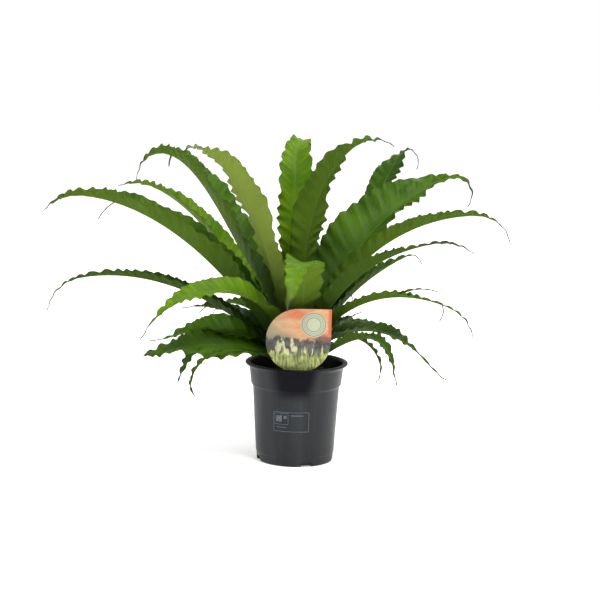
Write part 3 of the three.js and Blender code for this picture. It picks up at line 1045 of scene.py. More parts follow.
@dataclass
class Foliage:
    """All the fronds, each a closed thin blade with a ruffled edge, a midrib and a stalk.

    A line has a station every few millimetres and substeps between them. The half holds the places of
    a blade's points from the midrib to the edge, and rings is how finely a branch's start is placed.
    """

    station: float = 1.6
    substeps: int = 4
    standoff: float = 2.4
    tip_width: float = 0.9
    hook_start: float = 0.8
    rings: int = 14
    fold_round: float = 2.2
    half: tuple[float, ...] = (
        0.0, 0.03, 0.075, 0.14, 0.22, 0.32, 0.43, 0.55, 0.67, 0.79, 0.90, 0.975, 1.0,
    )
    materials: dict[LeafTone, bpy.types.Material] = field(default_factory=dict)

    def build(self, crown: "Crown") -> None:
        """Builds and dresses every frond.

        Args:
            crown: the crown that the fronds grow from.
        """
        self.materials = {finish.tone: finish.build() for finish in LEAF_FINISHES}
        for index, frond in enumerate(FRONDS):
            chance = np.random.default_rng(4100 + 17 * index)
            shell = Shell()
            line = self.frond_line(frond, crown, chance)
            self.add_blade(shell, line, self.width(frond, line.share), frond, chance)
            for fork in FORKS:
                if fork.frond == frond.name:
                    branch = self.fork_line(frond, fork, crown, line, chance)
                    width = fork.width + (self.tip_width - fork.width) * branch.share
                    start = 0.86 if fork.width < 10 else 0.4
                    self.add_blade(shell, branch, width, frond, chance, start)
            piece = shell.build(f"blade_{frond.name}", {"blade": ("run", "span")})
            finish_piece(piece, self.materials[frond.tone], f"frond_{frond.name}")

    def angles(self, frond: Frond, share: np.ndarray) -> tuple[np.ndarray, np.ndarray]:
        """The frond's direction along its length.

        Args:
            frond: the frond.
            share: shares of its length.

        Returns:
            The elevation and the azimuth, in degrees.
        """
        late = np.clip((share - self.hook_start) / (1.0 - self.hook_start), 0.0, None)
        elevation = frond.rise - frond.droop * share ** frond.bend - frond.hook * late ** 1.5
        return elevation, frond.heading + frond.sway * share ** 2

    def follow(self, start: np.ndarray, length: float, turning: Callable[[np.ndarray], tuple],
               roll: float) -> Line:
        """Follows a direction from a starting point.

        Args:
            start: the starting point.
            length: the length of the line.
            turning: gives elevation and azimuth for shares of the length.
            roll: how far the blade is rolled about the line, in degrees.

        Returns:
            The line.
        """
        stations = max(12, int(round(length / self.station)))
        total = stations * self.substeps
        steps, _ = directions(*turning((np.arange(total) + 0.5) / total))
        path = np.concatenate([[start], start + np.cumsum(steps, axis=0) * length / total])
        share = np.linspace(0.0, 1.0, stations + 1)
        tangent, side = directions(*turning(share))
        angle = np.radians(roll * np.minimum(1.0, share * 3.0))[:, None]
        above = np.cross(tangent, side)
        across = side * np.cos(angle) + above * np.sin(angle)
        return Line(share, share * length, path[::self.substeps], across, np.cross(tangent, across))

    def frond_line(self, frond: Frond, crown: "Crown", chance: np.random.Generator) -> Line:
        """The line of a frond, with a stalk that leaves the crown and a twisted tail.

        Args:
            frond: the frond.
            crown: the crown that it grows from.
            chance: the source of its small irregularities.

        Returns:
            The line.
        """
        reach = crown.radius(frond.seat) + self.standoff
        turn = math.radians(frond.heading)
        start = np.array([reach * math.cos(turn), reach * math.sin(turn), frond.seat])
        line = self.follow(start, frond.length, lambda t: self.angles(frond, t), frond.roll)
        inward = -np.array([math.cos(turn), math.sin(turn), 0.45])
        rooted = 1.0 - smooth(0.0, 10.0, line.run)
        centre = line.centre + 3.0 * rooted[:, None] * inward
        late = smooth(0.72, 0.97, line.share)
        phase = chance.uniform(0.0, 2 * math.pi, 3)
        sway = 0.7 * late * np.sin(2 * math.pi * line.run / 21.0 + phase[0])
        bob = 0.45 * late * np.sin(2 * math.pi * line.run / 15.0 + phase[1])
        centre = centre + sway[:, None] * line.across + bob[:, None] * line.up
        twist = 5.0 * np.sin(2 * math.pi * (0.8 * line.share + phase[2])) * smooth(0.05, 0.4, line.share)
        twist = twist + late * (frond.twist + chance.uniform(-35.0, 35.0))
        return self.twisted(line, centre, twist)

    def twisted(self, line: Line, centre: np.ndarray, degrees: np.ndarray) -> Line:
        """Turns a blade about its line.

        Args:
            line: the line.
            centre: its new centres.
            degrees: how far to turn it at each station.

        Returns:
            The turned line.
        """
        angle = np.radians(degrees)[:, None]
        across = line.across * np.cos(angle) + line.up * np.sin(angle)
        up = line.up * np.cos(angle) - line.across * np.sin(angle)
        return Line(line.share, line.run, centre, across, up)

    def fork_line(self, frond: Frond, fork: Fork, crown: "Crown", parent: Line,
                  chance: np.random.Generator) -> Line:
        """The line of a branch.

        Args:
            frond: the frond that it leaves.
            fork: the branch.
            crown: the crown that the frond grows from; not used.
            parent: the frond's own line.
            chance: the source of its small irregularities.

        Returns:
            The line.
        """
        at = round(fork.at * self.rings) / self.rings
        row = int(np.argmin(np.abs(parent.share - at)))
        leaving = self.angles(frond, np.array([at]))

        def turning(share: np.ndarray) -> tuple[np.ndarray, np.ndarray]:
            """Returns the branch's elevation and azimuth."""
            droop = leaving[0] + fork.lift - fork.droop * share
            return droop, np.full_like(share, leaving[1][0] + fork.turn)

        line = self.follow(parent.centre[row], fork.length, turning, frond.roll)
        return self.twisted(line, line.centre, chance.uniform(-30.0, 30.0) * line.share)

    def width(self, frond: Frond, share: np.ndarray) -> np.ndarray:
        """The full width of a frond's blade.

        Args:
            frond: the frond.
            share: shares of its length.

        Returns:
            The width at each share.
        """
        opening = share < frond.belly
        part = np.where(opening, share / frond.belly, (frond.tail - share) / (frond.tail - frond.belly))
        swell = np.sin(np.clip(part, 0.0, 1.0) * math.pi / 2) ** np.where(opening, frond.opening, 1.1)
        strip = frond.strip * np.clip((0.98 - share) / 0.1, 0.0, 1.0)
        narrow = np.where(opening, frond.stalk, self.tip_width + 1.2 * (1.0 - share) + strip)
        return narrow + (frond.width - narrow) * swell

    def add_blade(self, shell: Shell, line: Line, width: np.ndarray, frond: Frond,
                  chance: np.random.Generator, tail: float = 0.0) -> None:
        """Adds one blade to a mesh as a closed thin body.

        Args:
            shell: the mesh.
            line: the line that the blade follows.
            width: its full width at each station.
            frond: the frond, whose fold, bias and curl it takes.
            chance: the source of its ruffles.
            tail: how dry a branch is at its start, as a share of a frond's length.
        """
        # Places across the blade, and a breadth that swells and shrinks with the ruffles.
        half = np.array(self.half)
        v = np.concatenate([-half[:0:-1], half])
        side, reach = np.sign(v), np.abs(v)
        run, share = line.run[:, None], line.share[:, None]
        breadth = width[:, None] / 2 * (1.0 + frond.bias * side)
        wave = 10.0 + 0.1 * float(width.max())
        edge_phase = self.ruffle_phase(run, side, wave, chance)
        lobes = ((1.0 - np.cos(edge_phase)) / 2) ** 0.6 - 0.6 - 0.22 * np.cos(2.0 * edge_phase + 0.8)
        small = np.minimum(1.0, breadth / 6.0)
        open_up = smooth(0.0, 26.0, run) if tail == 0 else smooth(0.0, 8.0, run)
        s = reach * (breadth + 2.0 * lobes * small * open_up * reach ** 3)
        # How far each place is lifted: ruffles at the edge, ribs, a slow wave and a curl.
        phase = edge_phase - 2 * math.pi * 0.55 * s / wave
        strength = np.minimum(0.8 + 0.021 * width.max(), 0.1 + 0.3 * breadth) * open_up
        ruffle = strength * reach ** 1.7 * np.sin(phase)
        ruffle = ruffle + 0.18 * strength * reach ** 4 * np.sin(2.0 * phase + 1.0)
        ribs = np.sin(2 * math.pi * (run - 0.62 * s) / 8.2 + 0.5 * np.sin(run / 23.0))
        ribs = ribs * smooth(0.08, 0.4, reach) * np.minimum(1.0, breadth / 14.0) * open_up
        slow = 0.05 * width.max() * np.sin(2 * math.pi * run / 71.0 + chance.uniform(0, 6.28) + side)
        lift = ruffle + 0.22 * ribs + slow * reach ** 1.5 * open_up * np.minimum(1.0, breadth / 15.0)
        back = smooth(0.5, 1.1, reach) * (side * frond.bias > 0) * np.minimum(1.0, breadth / 20.0)
        lift = lift - frond.curl * back * open_up
        # The two halves are folded up from a rounded midrib.
        tilt = np.radians(frond.fold + 5.0 * np.sin(run / 31.0 + chance.uniform(0, 6.28)))
        root = np.sqrt(s * s + self.fold_round ** 2)
        sine = np.sin(tilt) * s / root
        cosine = np.sqrt(1.0 - sine * sine)
        out_a, out_b = -side * s * np.cos(tilt), np.sin(tilt) * (root - self.fold_round)
        normal_a, normal_b = side * sine, cosine
        # The upper and lower surfaces, with a low ridge above the midrib and a keel below it.
        whole = tail + (1.0 - tail) * share
        stalk = (1.0 - smooth(0.0, 60.0, run)) if tail == 0 else 0.0
        crease = np.exp(-(s / 1.5) ** 2)
        skin = (0.85 + 0.5 * stalk) * (1.0 - 0.35 * whole) * (1.0 - 0.45 * reach ** 2)
        above = lift + skin / 2 + (0.35 + 0.8 * stalk) * crease * (1.0 - whole)
        below = lift - skin / 2 - (1.7 + 0.9 * stalk) * crease * (1.0 - 0.8 * whole)
        loops, unders = [], []
        for height, flip in ((above, False), (below, True)):
            a, b = out_a + normal_a * height, out_b + normal_b * height
            points = (line.centre[:, None, :] + a[:, :, None] * line.across[:, None, :]
                      + b[:, :, None] * line.up[:, None, :])
            loops.append(points[:, ::-1] if flip else points)
            unders.append(np.full(a.shape, float(flip)))
        count, columns = len(line.share), len(v)
        grid = np.concatenate(loops, axis=1) * MM

        def around(value: np.ndarray) -> np.ndarray:
            """Returns a value for the upper and lower points of every station."""
            full = np.broadcast_to(value, (count, columns))
            return np.concatenate([full, full[:, ::-1]], axis=1).ravel()

        # The ridge value is the height of the ruffles and ribs; the leaf material paints the crests lighter
        # as a highlight.
        shell.add(
            grid.reshape(-1, 3), self.blade_faces(count, columns),
            along=around(whole), edge=around(reach[None, :]), under=np.concatenate(unders, axis=1).ravel(),
            ridge=around(0.5 * np.sin(phase) * reach + 0.5 * ribs), run=around(run * MM),
            span=around(side * s * MM),
        )

    def ruffle_phase(self, run: np.ndarray, side: np.ndarray, wave: float,
                     chance: np.random.Generator) -> np.ndarray:
        """The phase of the ruffles, uneven along the edge and different on each half.

        Args:
            run: how far along the blade each station is.
            side: -1 or 1 for the two halves.
            wave: the mean length of a ruffle.
            chance: the source of the unevenness.

        Returns:
            The phase at each station and column.
        """
        phases = []
        for _ in range(2):
            a, b, c = chance.uniform(0.0, 2 * math.pi, 3)
            uneven = 1.3 * np.sin(run / (0.78 * wave) + b) + 1.7 * np.sin(run / (1.9 * wave) + c)
            phases.append(2 * math.pi * run / wave + a + uneven)
        return np.where(side < 0, phases[0], phases[1])

    def blade_faces(self, count: int, columns: int) -> Faces:
        """The faces of a closed blade, whose flat ends are strips of four-sided faces.

        Args:
            count: the number of stations.
            columns: the number of points across each of its two surfaces.

        Returns:
            The faces as lists of point indices.
        """
        loop = 2 * columns
        faces = tube_faces(count, loop, reverse=True)[:-2]
        for first, flip in ((0, False), ((count - 1) * loop, True)):
            for j in range(columns - 1):
                face = [first + j, first + j + 1, first + loop - 2 - j, first + loop - 1 - j]
                faces.append(face[::-1] if flip else face)
        return faces


@dataclass
class Crown:
    """The short upright stem, with papery scales and fibres between the stalks."""

    top: float = 144.0
    neck: float = 140.0
    foot: float = 102.0
    neck_radius: float = 8.5
    foot_radius: float = 16.0
    stub_radius: float = 8.0
    stub_foot: float = 87.0
    segments: int = 96
    scales: int = 230

    def radius(self, height: float) -> float:
        """Returns the crown's radius at a height."""
        share = (height - self.foot) / (self.neck - self.foot)
        return self.foot_radius + (self.neck_radius - self.foot_radius) * share

    def build(self) -> None:
        """Builds and dresses the crown."""
        chance = np.random.default_rng(77)
        outline = [(0.0, self.stub_foot), (self.stub_radius, self.stub_foot),
                   (self.stub_radius, self.foot + 0.3)]
        for height in np.linspace(self.foot + 0.3, self.neck, 46):
            outline.append((self.radius(height), height))
        outline += [(7.6, 141.6), (5.9, 142.7), (3.6, 143.5), (0.0, 143.9)]
        shell = Shell()
        points, faces = turned_shell(outline, self.segments)
        angle = np.arctan2(points[:, 1], points[:, 0])
        height = points[:, 2]
        mask = smooth(self.foot + 0.3, self.foot + 3.0, height)
        rough = (0.30 * np.sin(23 * angle + 0.35 * height) + 0.25 * np.sin(11 * angle - 0.8 * height)
                 + 0.2 * np.sin(41 * angle + 1.3 * np.sin(0.5 * height)))
        swell = 1.0 + mask * (rough - 0.7) / 14.0
        points[:, 0] *= swell
        points[:, 1] *= swell
        shell.add(points * MM, faces)
        for _ in range(self.scales):
            self.add_scale(shell, chance)
        piece = shell.build("crown_stem")
        finish_piece(piece, CrownFinish().build(), "crown")

    def add_scale(self, shell: Shell, chance: np.random.Generator) -> None:
        """Adds one thin pointed scale that lies up against the stem.

        Args:
            shell: the crown's mesh.
            chance: the source of its place and size.
        """
        height = chance.uniform(self.foot + 1.0, self.neck - 2.0)
        turn = chance.uniform(0.0, 2 * math.pi)
        length, width = chance.uniform(5.0, 11.0), chance.uniform(0.8, 2.2)
        lean = chance.uniform(0.02, 0.22)
        out = np.array([math.cos(turn), math.sin(turn), 0.0])
        level = np.array([-math.sin(turn), math.cos(turn), 0.0])
        rise = np.array([0.0, 0.0, 1.0])
        rows = 7
        share = np.linspace(0.0, 1.0, rows)
        half = 0.5 * width * np.sin(math.pi * np.clip(0.18 + 0.82 * share, 0, 0.995)) ** 0.7
        base = self.radius(height) - 0.7
        centre = (out[None] * (base + lean * length * share ** 1.4)[:, None]
                  + rise[None] * (height + length * share * 0.95)[:, None]
                  + level[None] * (0.9 * np.sin(2.2 * share + turn))[:, None])
        loop = []
        for offset, depth in ((-1.0, 0.0), (0.0, 0.35), (1.0, 0.0), (0.0, -0.12)):
            loop.append(centre + level[None] * (offset * half)[:, None] + out[None] * depth)
        points = np.stack(loop, axis=1).reshape(-1, 3)
        shell.add(points * MM, tube_faces(rows, len(loop)))


def rounded(outline: Outline, reach: float, steps: int = 4) -> Outline:
    """Rounds the corners of an outline.

    Args:
        outline: points of radius and height.
        reach: how far from each corner the rounding starts.
        steps: how many pieces each rounding is made of.

    Returns:
        The outline with rounded corners, and the same first and last points.
    """
    points = np.array(outline)
    result = [tuple(points[0])]
    for before, here, after in zip(points, points[1:], points[2:]):
        back, ahead = before - here, after - here
        start = here + back * min(0.45, reach / max(1e-6, np.linalg.norm(back)))
        end = here + ahead * min(0.45, reach / max(1e-6, np.linalg.norm(ahead)))
        for share in np.linspace(0.0, 1.0, steps + 1):
            result.append(tuple((1 - share) ** 2 * start + 2 * share * (1 - share) * here
                                + share ** 2 * end))
    return result + [tuple(points[-1])]


def cut_away(piece: bpy.types.Object, cutters: list[bpy.types.Object]) -> None:
    """Cuts pieces out of a piece and removes the cutters.

    Args:
        piece: the piece to be cut.
        cutters: closed meshes.
    """
    for cutter in cutters:
        modifier = piece.modifiers.new("cut", "BOOLEAN")
        modifier.operation, modifier.solver, modifier.object = "DIFFERENCE", "EXACT", cutter
    shaped = piece.evaluated_get(bpy.context.evaluated_depsgraph_get())
    mesh = bpy.data.meshes.new_from_object(shaped)
    piece.modifiers.clear()
    piece.data = mesh
    for cutter in cutters:
        bpy.data.objects.remove(cutter)


@dataclass
class Pot:
    """The nursery pot, its drain holes and foot notches, and the plain frame printed on it.

    Each printed frame and bar is two angles in degrees and two heights.
    """

    height: float = 117.0
    rim_radius: float = 60.0
    lip_depth: float = 5.4
    collar_top: float = 55.0
    collar_foot: float = 52.8
    collar_foot_height: float = 91.0
    body_top: float = 50.6
    body_top_height: float = 88.0
    foot_radius: float = 44.6
    wall: float = 1.3
    floor: float = 4.4
    channel: float = 2.6
    pad_radius: float = 18.0
    foot_ring: float = 3.4
    drain_holes: int = 8
    drain_circle: float = 30.0
    drain_radius: float = 3.6
    notches: int = 4
    notch_turn: float = 18.0
    notch_width: float = 13.0
    notch_height: float = 5.6
    segments: int = 160
    print_line: float = 0.55
    frames: tuple[tuple[float, float, float, float], ...] = (
        (-121.0, -71.0, 42.4, 65.8), (-119.2, -99.5, 50.8, 64.4),
    )
    bars: tuple[tuple[float, float, float, float], ...] = (
        (-96.5, -79.0, 61.2, 62.3), (-117.0, -108.5, 54.0, 61.5),
        (-106.0, -102.0, 57.6, 61.5), (-117.0, -102.0, 47.2, 47.9),
    )

    def body_radius(self, height: float) -> float:
        """Returns the body's outer radius at a height."""
        return self.foot_radius + (self.body_top - self.foot_radius) * height / self.body_top_height

    def collar_radius(self, height: float) -> float:
        """The collar's outer radius.

        Args:
            height: a height on the collar.

        Returns:
            The radius there.
        """
        span = self.height - self.lip_depth - self.collar_foot_height
        share = (height - self.collar_foot_height) / span
        return self.collar_foot + (self.collar_top - self.collar_foot) * share

    def build(self) -> None:
        """Builds and dresses the pot and its print."""
        shell = Shell()
        points, faces = turned_shell(rounded(self.outline(), 0.7), self.segments)
        shell.add(points * MM, faces)
        piece = shell.build("pot_shell")
        point_outwards(piece)
        cutters = []
        for index in range(self.drain_holes):
            cutters.append(self.drain_cutter(2 * math.pi * (index + 0.5) / self.drain_holes))
        for index in range(self.notches):
            turn = math.radians(self.notch_turn - 90 + 360 / self.notches * index)
            cutters.append(self.notch_cutter(turn, self.foot_radius - 2.6, self.notch_height))
            cutters.append(self.notch_cutter(turn, self.foot_radius - 9.0, 1.5))
        cut_away(piece, cutters)
        piece.data.shade_smooth()
        piece.data.set_sharp_from_angle(angle=math.radians(38))
        finish_piece(piece, PotFinish().build(), "pot")
        self.build_print()

    def outline(self) -> Outline:
        """The section of the pot's wall.

        Returns:
            Points of radius and height, from the middle of the underside round to the inside.
        """
        lip = self.height - self.lip_depth
        inner = self.foot_radius - self.wall
        return [
            (0, 0), (self.pad_radius, 0), (self.pad_radius + 1.2, self.channel),
            (inner - self.foot_ring, self.channel), (inner - self.foot_ring + 1.2, 0),
            (self.foot_radius - 1.6, 0), (self.foot_radius - 0.5, 0.6),
            (self.body_radius(2) - 0.1, 2), (self.body_radius(10) - 0.1, 10),
            (self.body_radius(11) + 0.4, 11), (self.body_top, self.body_top_height),
            (self.collar_foot, self.collar_foot_height), (self.collar_top, lip - 1.0),
            (self.rim_radius - 0.5, lip + 2.6), (self.rim_radius, lip + 3.4),
            (self.rim_radius, self.height - 1), (self.rim_radius - 0.8, self.height - 0.3),
            (self.rim_radius - 2.4, self.height), (self.collar_top + 0.4, self.height - 0.3),
            (self.collar_top - self.wall + 0.3, self.height - 2.4),
            (self.collar_foot - self.wall, self.collar_foot_height),
            (self.body_top - self.wall, self.body_top_height - 1),
            (self.body_radius(9) - self.wall, 9), (inner - 2.4, self.floor), (0, self.floor),
        ]

    def drain_cutter(self, angle: float) -> bpy.types.Object:
        """Builds a cutter for the drain hole at an angle.

        Args:
            angle: where the hole is, in radians.

        Returns:
            The cutter.
        """
        radius, low, high = self.drain_radius, -1, 6
        points, faces = turned_shell([(0, low), (radius, low), (radius, high), (0, high)], 28)
        points += [self.drain_circle * math.cos(angle), self.drain_circle * math.sin(angle), 0]
        shell = Shell()
        shell.add(points * MM, faces)
        cutter = shell.build("drain_cutter")
        point_outwards(cutter)
        return cutter

    def notch_cutter(self, angle: float, inner: float, high: float) -> bpy.types.Object:
        """Builds a cutter with a rounded top for the foot notch at an angle.

        Args:
            angle: where the notch is, in radians.
            inner: the radius that it reaches in to.
            high: the height that it reaches up to.

        Returns:
            The cutter.
        """
        half = self.notch_width / 2
        arch = [(-half, -2.0), (half, -2.0)]
        for share in np.linspace(0.0, 1.0, 13):
            bend = math.pi * share
            arch.append((half * math.copysign(abs(math.cos(bend)) ** 0.35, math.cos(bend)),
                         high * math.sin(bend) ** 0.35))
        ahead = np.array([math.cos(angle), math.sin(angle), 0.0])
        level = np.array([-math.sin(angle), math.cos(angle), 0.0])
        points = []
        for reach in (inner, self.foot_radius + 9.0):
            points += [ahead * reach + level * x + np.array([0, 0, z]) for x, z in arch]
        count = len(arch)
        faces = [list(range(count)), list(range(2 * count - 1, count - 1, -1))]
        faces += [[i, i + count, (i + 1) % count + count, (i + 1) % count] for i in range(count)]
        shell = Shell()
        shell.add(np.array(points) * MM, faces)
        cutter = shell.build("notch_cutter")
        point_outwards(cutter)
        return cutter

    def build_print(self) -> None:
        """Builds and dresses the frame, the small square and the bars printed on the wall."""
        shell = Shell()
        line = self.print_line
        for low, high, foot, head in self.frames:
            step = math.degrees(line / self.body_radius(54))
            self.add_patch(shell, low, high, foot, foot + line)
            self.add_patch(shell, low, high, head - line, head)
            self.add_patch(shell, low, low + step, foot + line, head - line)
            self.add_patch(shell, high - step, high, foot + line, head - line)
        for bar in self.bars:
            self.add_patch(shell, *bar)
        piece = shell.build("pot_print")
        finish_piece(piece, InkFinish().build())

    def add_patch(self, shell: Shell, low: float, high: float, foot: float, head: float) -> None:
        """Adds a thin patch of ink that lies on the wall.

        Args:
            shell: the print's mesh.
            low: the angle of one side, in degrees.
            high: the angle of the other side, in degrees.
            foot: the height of its lower edge.
            head: the height of its upper edge.
        """
        columns = max(2, int((high - low) / 2.0) + 1)
        angles = np.radians(np.linspace(low, high, columns))
        rings = []
        for height, proud in ((foot, 0.1), (head, 0.1), (head, -0.15), (foot, -0.15)):
            radius = self.body_radius(height) + 0.4 * (1 - (height - 11) / 77) + proud
            rings.append(np.stack([radius * np.cos(angles), radius * np.sin(angles),
                                   np.full(columns, height)], axis=1))
        points = np.stack(rings, axis=1).reshape(-1, 3)
        shell.add(points * MM, tube_faces(columns, len(rings), reverse=True))


@dataclass
class Compost:
    """The compost in the pot: a lumpy surface strewn with crumbs.

    The crumb shape is the least and greatest length, width and height of a crumb for its size.
    """

    top: float = 102.0
    edge_top: float = 100.6
    gap: float = 0.3
    segments: int = 200
    crumbs: int = 620
    crumb_shape: tuple[tuple[float, float], ...] = ((0.8, 1.7), (0.7, 1.1), (0.45, 0.8))

    def build(self, pot: Pot, crown: Crown) -> None:
        """Builds and dresses the compost.

        Args:
            pot: the pot that holds it.
            crown: the crown that stands in it.
        """
        chance = np.random.default_rng(9)
        clear = pot.wall + self.gap
        rim = pot.collar_radius(self.edge_top) - clear
        floor = pot.floor + self.gap
        outline = [
            (0, floor), (pot.foot_radius - clear - pot.wall - 2.4, floor),
            (pot.body_radius(9) - clear, 9 + self.gap), (pot.body_top - clear, pot.body_top_height - 1),
            (pot.collar_foot - clear, pot.collar_foot_height + self.gap), (rim, self.edge_top),
        ]
        for radius in np.linspace(rim - 0.6, 0.8, 70):
            outline.append((radius, self.surface(radius, rim)))
        outline.append((0.0, self.top))
        points, faces = turned_shell(outline, self.segments)
        above = smooth(self.edge_top - 0.2, self.edge_top + 0.1, points[:, 2])
        near = 1.0 - smooth(rim - 1.5, rim, np.hypot(points[:, 0], points[:, 1]))
        points[:, 2] += above * near * self.lumps(points, chance)
        shell = Shell()
        shell.add(points * MM, faces)
        for _ in range(self.crumbs):
            self.add_crumb(shell, rim, crown, chance)
        piece = shell.build("compost_surface")
        piece.data.set_sharp_from_angle(angle=math.radians(50))
        finish_piece(piece, CompostFinish().build(), "compost")

    def surface(self, radius: float, rim: float) -> float:
        """Returns the mean height of the surface at a radius."""
        return self.edge_top + 0.2 + (self.top - self.edge_top - 0.2) * min(1.0, (rim - radius) / 20.0)

    def lumps(self, points: np.ndarray, chance: np.random.Generator) -> np.ndarray:
        """The lumps of the surface.

        Args:
            points: places in millimetres.
            chance: the source of the lumps.

        Returns:
            A height for each place.
        """
        height = np.zeros(len(points))
        for wave, size in ((17.0, 0.55), (9.0, 0.4), (5.0, 0.32), (2.9, 0.28), (1.9, 0.2)):
            for _ in range(5):
                turn, phase = chance.uniform(0.0, 2 * math.pi, 2)
                along = points[:, 0] * math.cos(turn) + points[:, 1] * math.sin(turn)
                height += 0.45 * size * np.sin(2 * math.pi * along / wave + phase)
        return height

    def add_crumb(self, shell: Shell, rim: float, crown: Crown, chance: np.random.Generator) -> None:
        """Adds one angular crumb that is half sunk in the surface.

        Args:
            shell: the compost's mesh.
            rim: the radius that the compost reaches.
            crown: the crown, which stays clear.
            chance: the source of its place and shape.
        """
        radius = math.sqrt(chance.uniform((crown.foot_radius + 2.0) ** 2, (rim - 3.0) ** 2))
        turn = chance.uniform(0.0, 2 * math.pi)
        size = chance.uniform(0.7, 1.7) * (1.6 if chance.random() < 0.12 else 1.0)
        rings, around = 4, 7
        points = [[0.0, 0.0, -1.0]]
        for ring in range(1, rings):
            polar = math.pi * ring / rings
            for k in range(around):
                spin = 2 * math.pi * (k + 0.5 * ring) / around
                points.append([math.sin(polar) * math.cos(spin), math.sin(polar) * math.sin(spin),
                               -math.cos(polar)])
        points.append([0.0, 0.0, 1.0])
        body = np.array(points)
        body *= (1.0 + chance.uniform(-0.28, 0.28, len(points)))[:, None]
        body *= size * np.array([chance.uniform(low, high) for low, high in self.crumb_shape])
        spin = chance.uniform(0.0, 2 * math.pi)
        cosine, sine = math.cos(spin), math.sin(spin)
        turned = np.array([[cosine, -sine, 0], [sine, cosine, 0], [0, 0, 1]])
        place = [radius * math.cos(turn), radius * math.sin(turn), self.surface(radius, rim) + 0.25 * size]
        last = len(points) - 1
        faces = [[0, 1 + (k + 1) % around, 1 + k] for k in range(around)]
        for ring in range(rings - 2):
            first = 1 + ring * around
            for k in range(around):
                after = (k + 1) % around
                faces.append([first + k, first + after, first + around + after, first + around + k])
        first = 1 + (rings - 2) * around
        faces += [[last, first + k, first + (k + 1) % around] for k in range(around)]
        shell.add((body @ turned.T + place) * MM, faces)


@dataclass
class PlantLabel:
    """The printed card on its spike: a disc with one square corner, tilted slightly about the rim."""

    disc_radius: float = 37.3
    centre_x: float = 1.5
    centre_z: float = 149.6
    back_face: float = 47.0
    pivot: float = 117.0
    thickness: float = 0.8
    tilt: float = 3.0
    spike_top: float = 20.0
    spike_foot: float = 7.0
    spike_end: float = 66.0
    rows: int = 150
    columns: int = 36

    def build(self) -> None:
        """Builds and dresses the label."""
        heights = self.heights()
        left, right = self.sides(heights)
        share = (1.0 - np.cos(np.linspace(0.0, math.pi, self.columns))) / 2
        x = left[:, None] + (right - left)[:, None] * share[None, :]
        h = np.broadcast_to(heights[:, None], x.shape)
        loop_x = np.concatenate([x, right[:, None], x[:, ::-1], left[:, None]], axis=1)
        loop_h = np.concatenate([h, heights[:, None], h, heights[:, None]], axis=1)
        middle = np.full((len(heights), 1), self.thickness / 2)
        depth = np.concatenate([np.full(x.shape, self.thickness), middle, np.zeros(x.shape), middle], axis=1)
        inset = np.ones(x.shape)
        inset[:, 0] = inset[:, -1] = 0.0
        ease = np.concatenate([inset, inset[:, :1], inset, inset[:, :1]], axis=1)
        depth = self.thickness / 2 + (depth - self.thickness / 2) * (0.55 + 0.45 * ease)
        blank = np.concatenate([np.zeros(x.shape), np.ones(middle.shape), np.ones(x.shape),
                                np.ones(middle.shape)], axis=1)
        shell = Shell()
        points = self.placed(loop_x.ravel(), loop_h.ravel(), depth.ravel())
        shell.add(points * MM, tube_faces(*loop_x.shape), blank=blank.ravel(),
                  across=(loop_x.ravel() - self.centre_x) / self.disc_radius,
                  rise=(loop_h.ravel() - self.centre_z) / self.disc_radius)
        piece = shell.build("label_card", {"print": ("across", "rise")})
        point_outwards(piece)
        piece.data.set_sharp_from_angle(angle=math.radians(35))
        finish_piece(piece, LabelFinish().build(), "plant_label")

    def heights(self) -> np.ndarray:
        """The heights of the card's rows.

        Returns:
            The heights, close together where the outline is round.
        """
        bottom = self.centre_z - self.disc_radius
        spike = np.linspace(self.spike_end, bottom - 1.0, 20)
        disc = self.centre_z - self.disc_radius * np.cos(np.linspace(0.0, math.pi, self.rows))
        return np.concatenate([spike, disc])

    def sides(self, heights: np.ndarray) -> tuple[np.ndarray, np.ndarray]:
        """The two sides of the outline.

        Args:
            heights: the rows' heights.

        Returns:
            The left and the right side at each height.
        """
        up = np.clip(heights - self.centre_z, -self.disc_radius, self.disc_radius)
        round_half = np.sqrt(np.clip(self.disc_radius ** 2 - up ** 2, 0.0, None))
        round_half = np.where(heights < self.centre_z - self.disc_radius, 0.0, round_half)
        meet = self.centre_z - math.sqrt(self.disc_radius ** 2 - (self.spike_top / 2) ** 2)
        share = np.clip((heights - self.spike_end) / (meet - self.spike_end), 0.0, 1.0)
        spike = (self.spike_foot + (self.spike_top - self.spike_foot) * share) / 2
        spike = np.where(heights > self.centre_z, 0.0, spike)
        half = np.maximum(round_half, spike)
        square = np.where(heights > self.centre_z, self.disc_radius, half)
        return self.centre_x - half, self.centre_x + square

    def placed(self, x: np.ndarray, height: np.ndarray, depth: np.ndarray) -> np.ndarray:
        """Tilts the card about the pot's rim.

        Args:
            x: places across the card.
            height: heights before it is tilted.
            depth: how far in front of its back face.

        Returns:
            The points.
        """
        angle = math.radians(self.tilt)
        out = height - self.pivot
        y = -self.back_face - math.sin(angle) * out - math.cos(angle) * depth
        return np.stack([x, y, self.pivot + math.cos(angle) * out - math.sin(angle) * depth], axis=1)


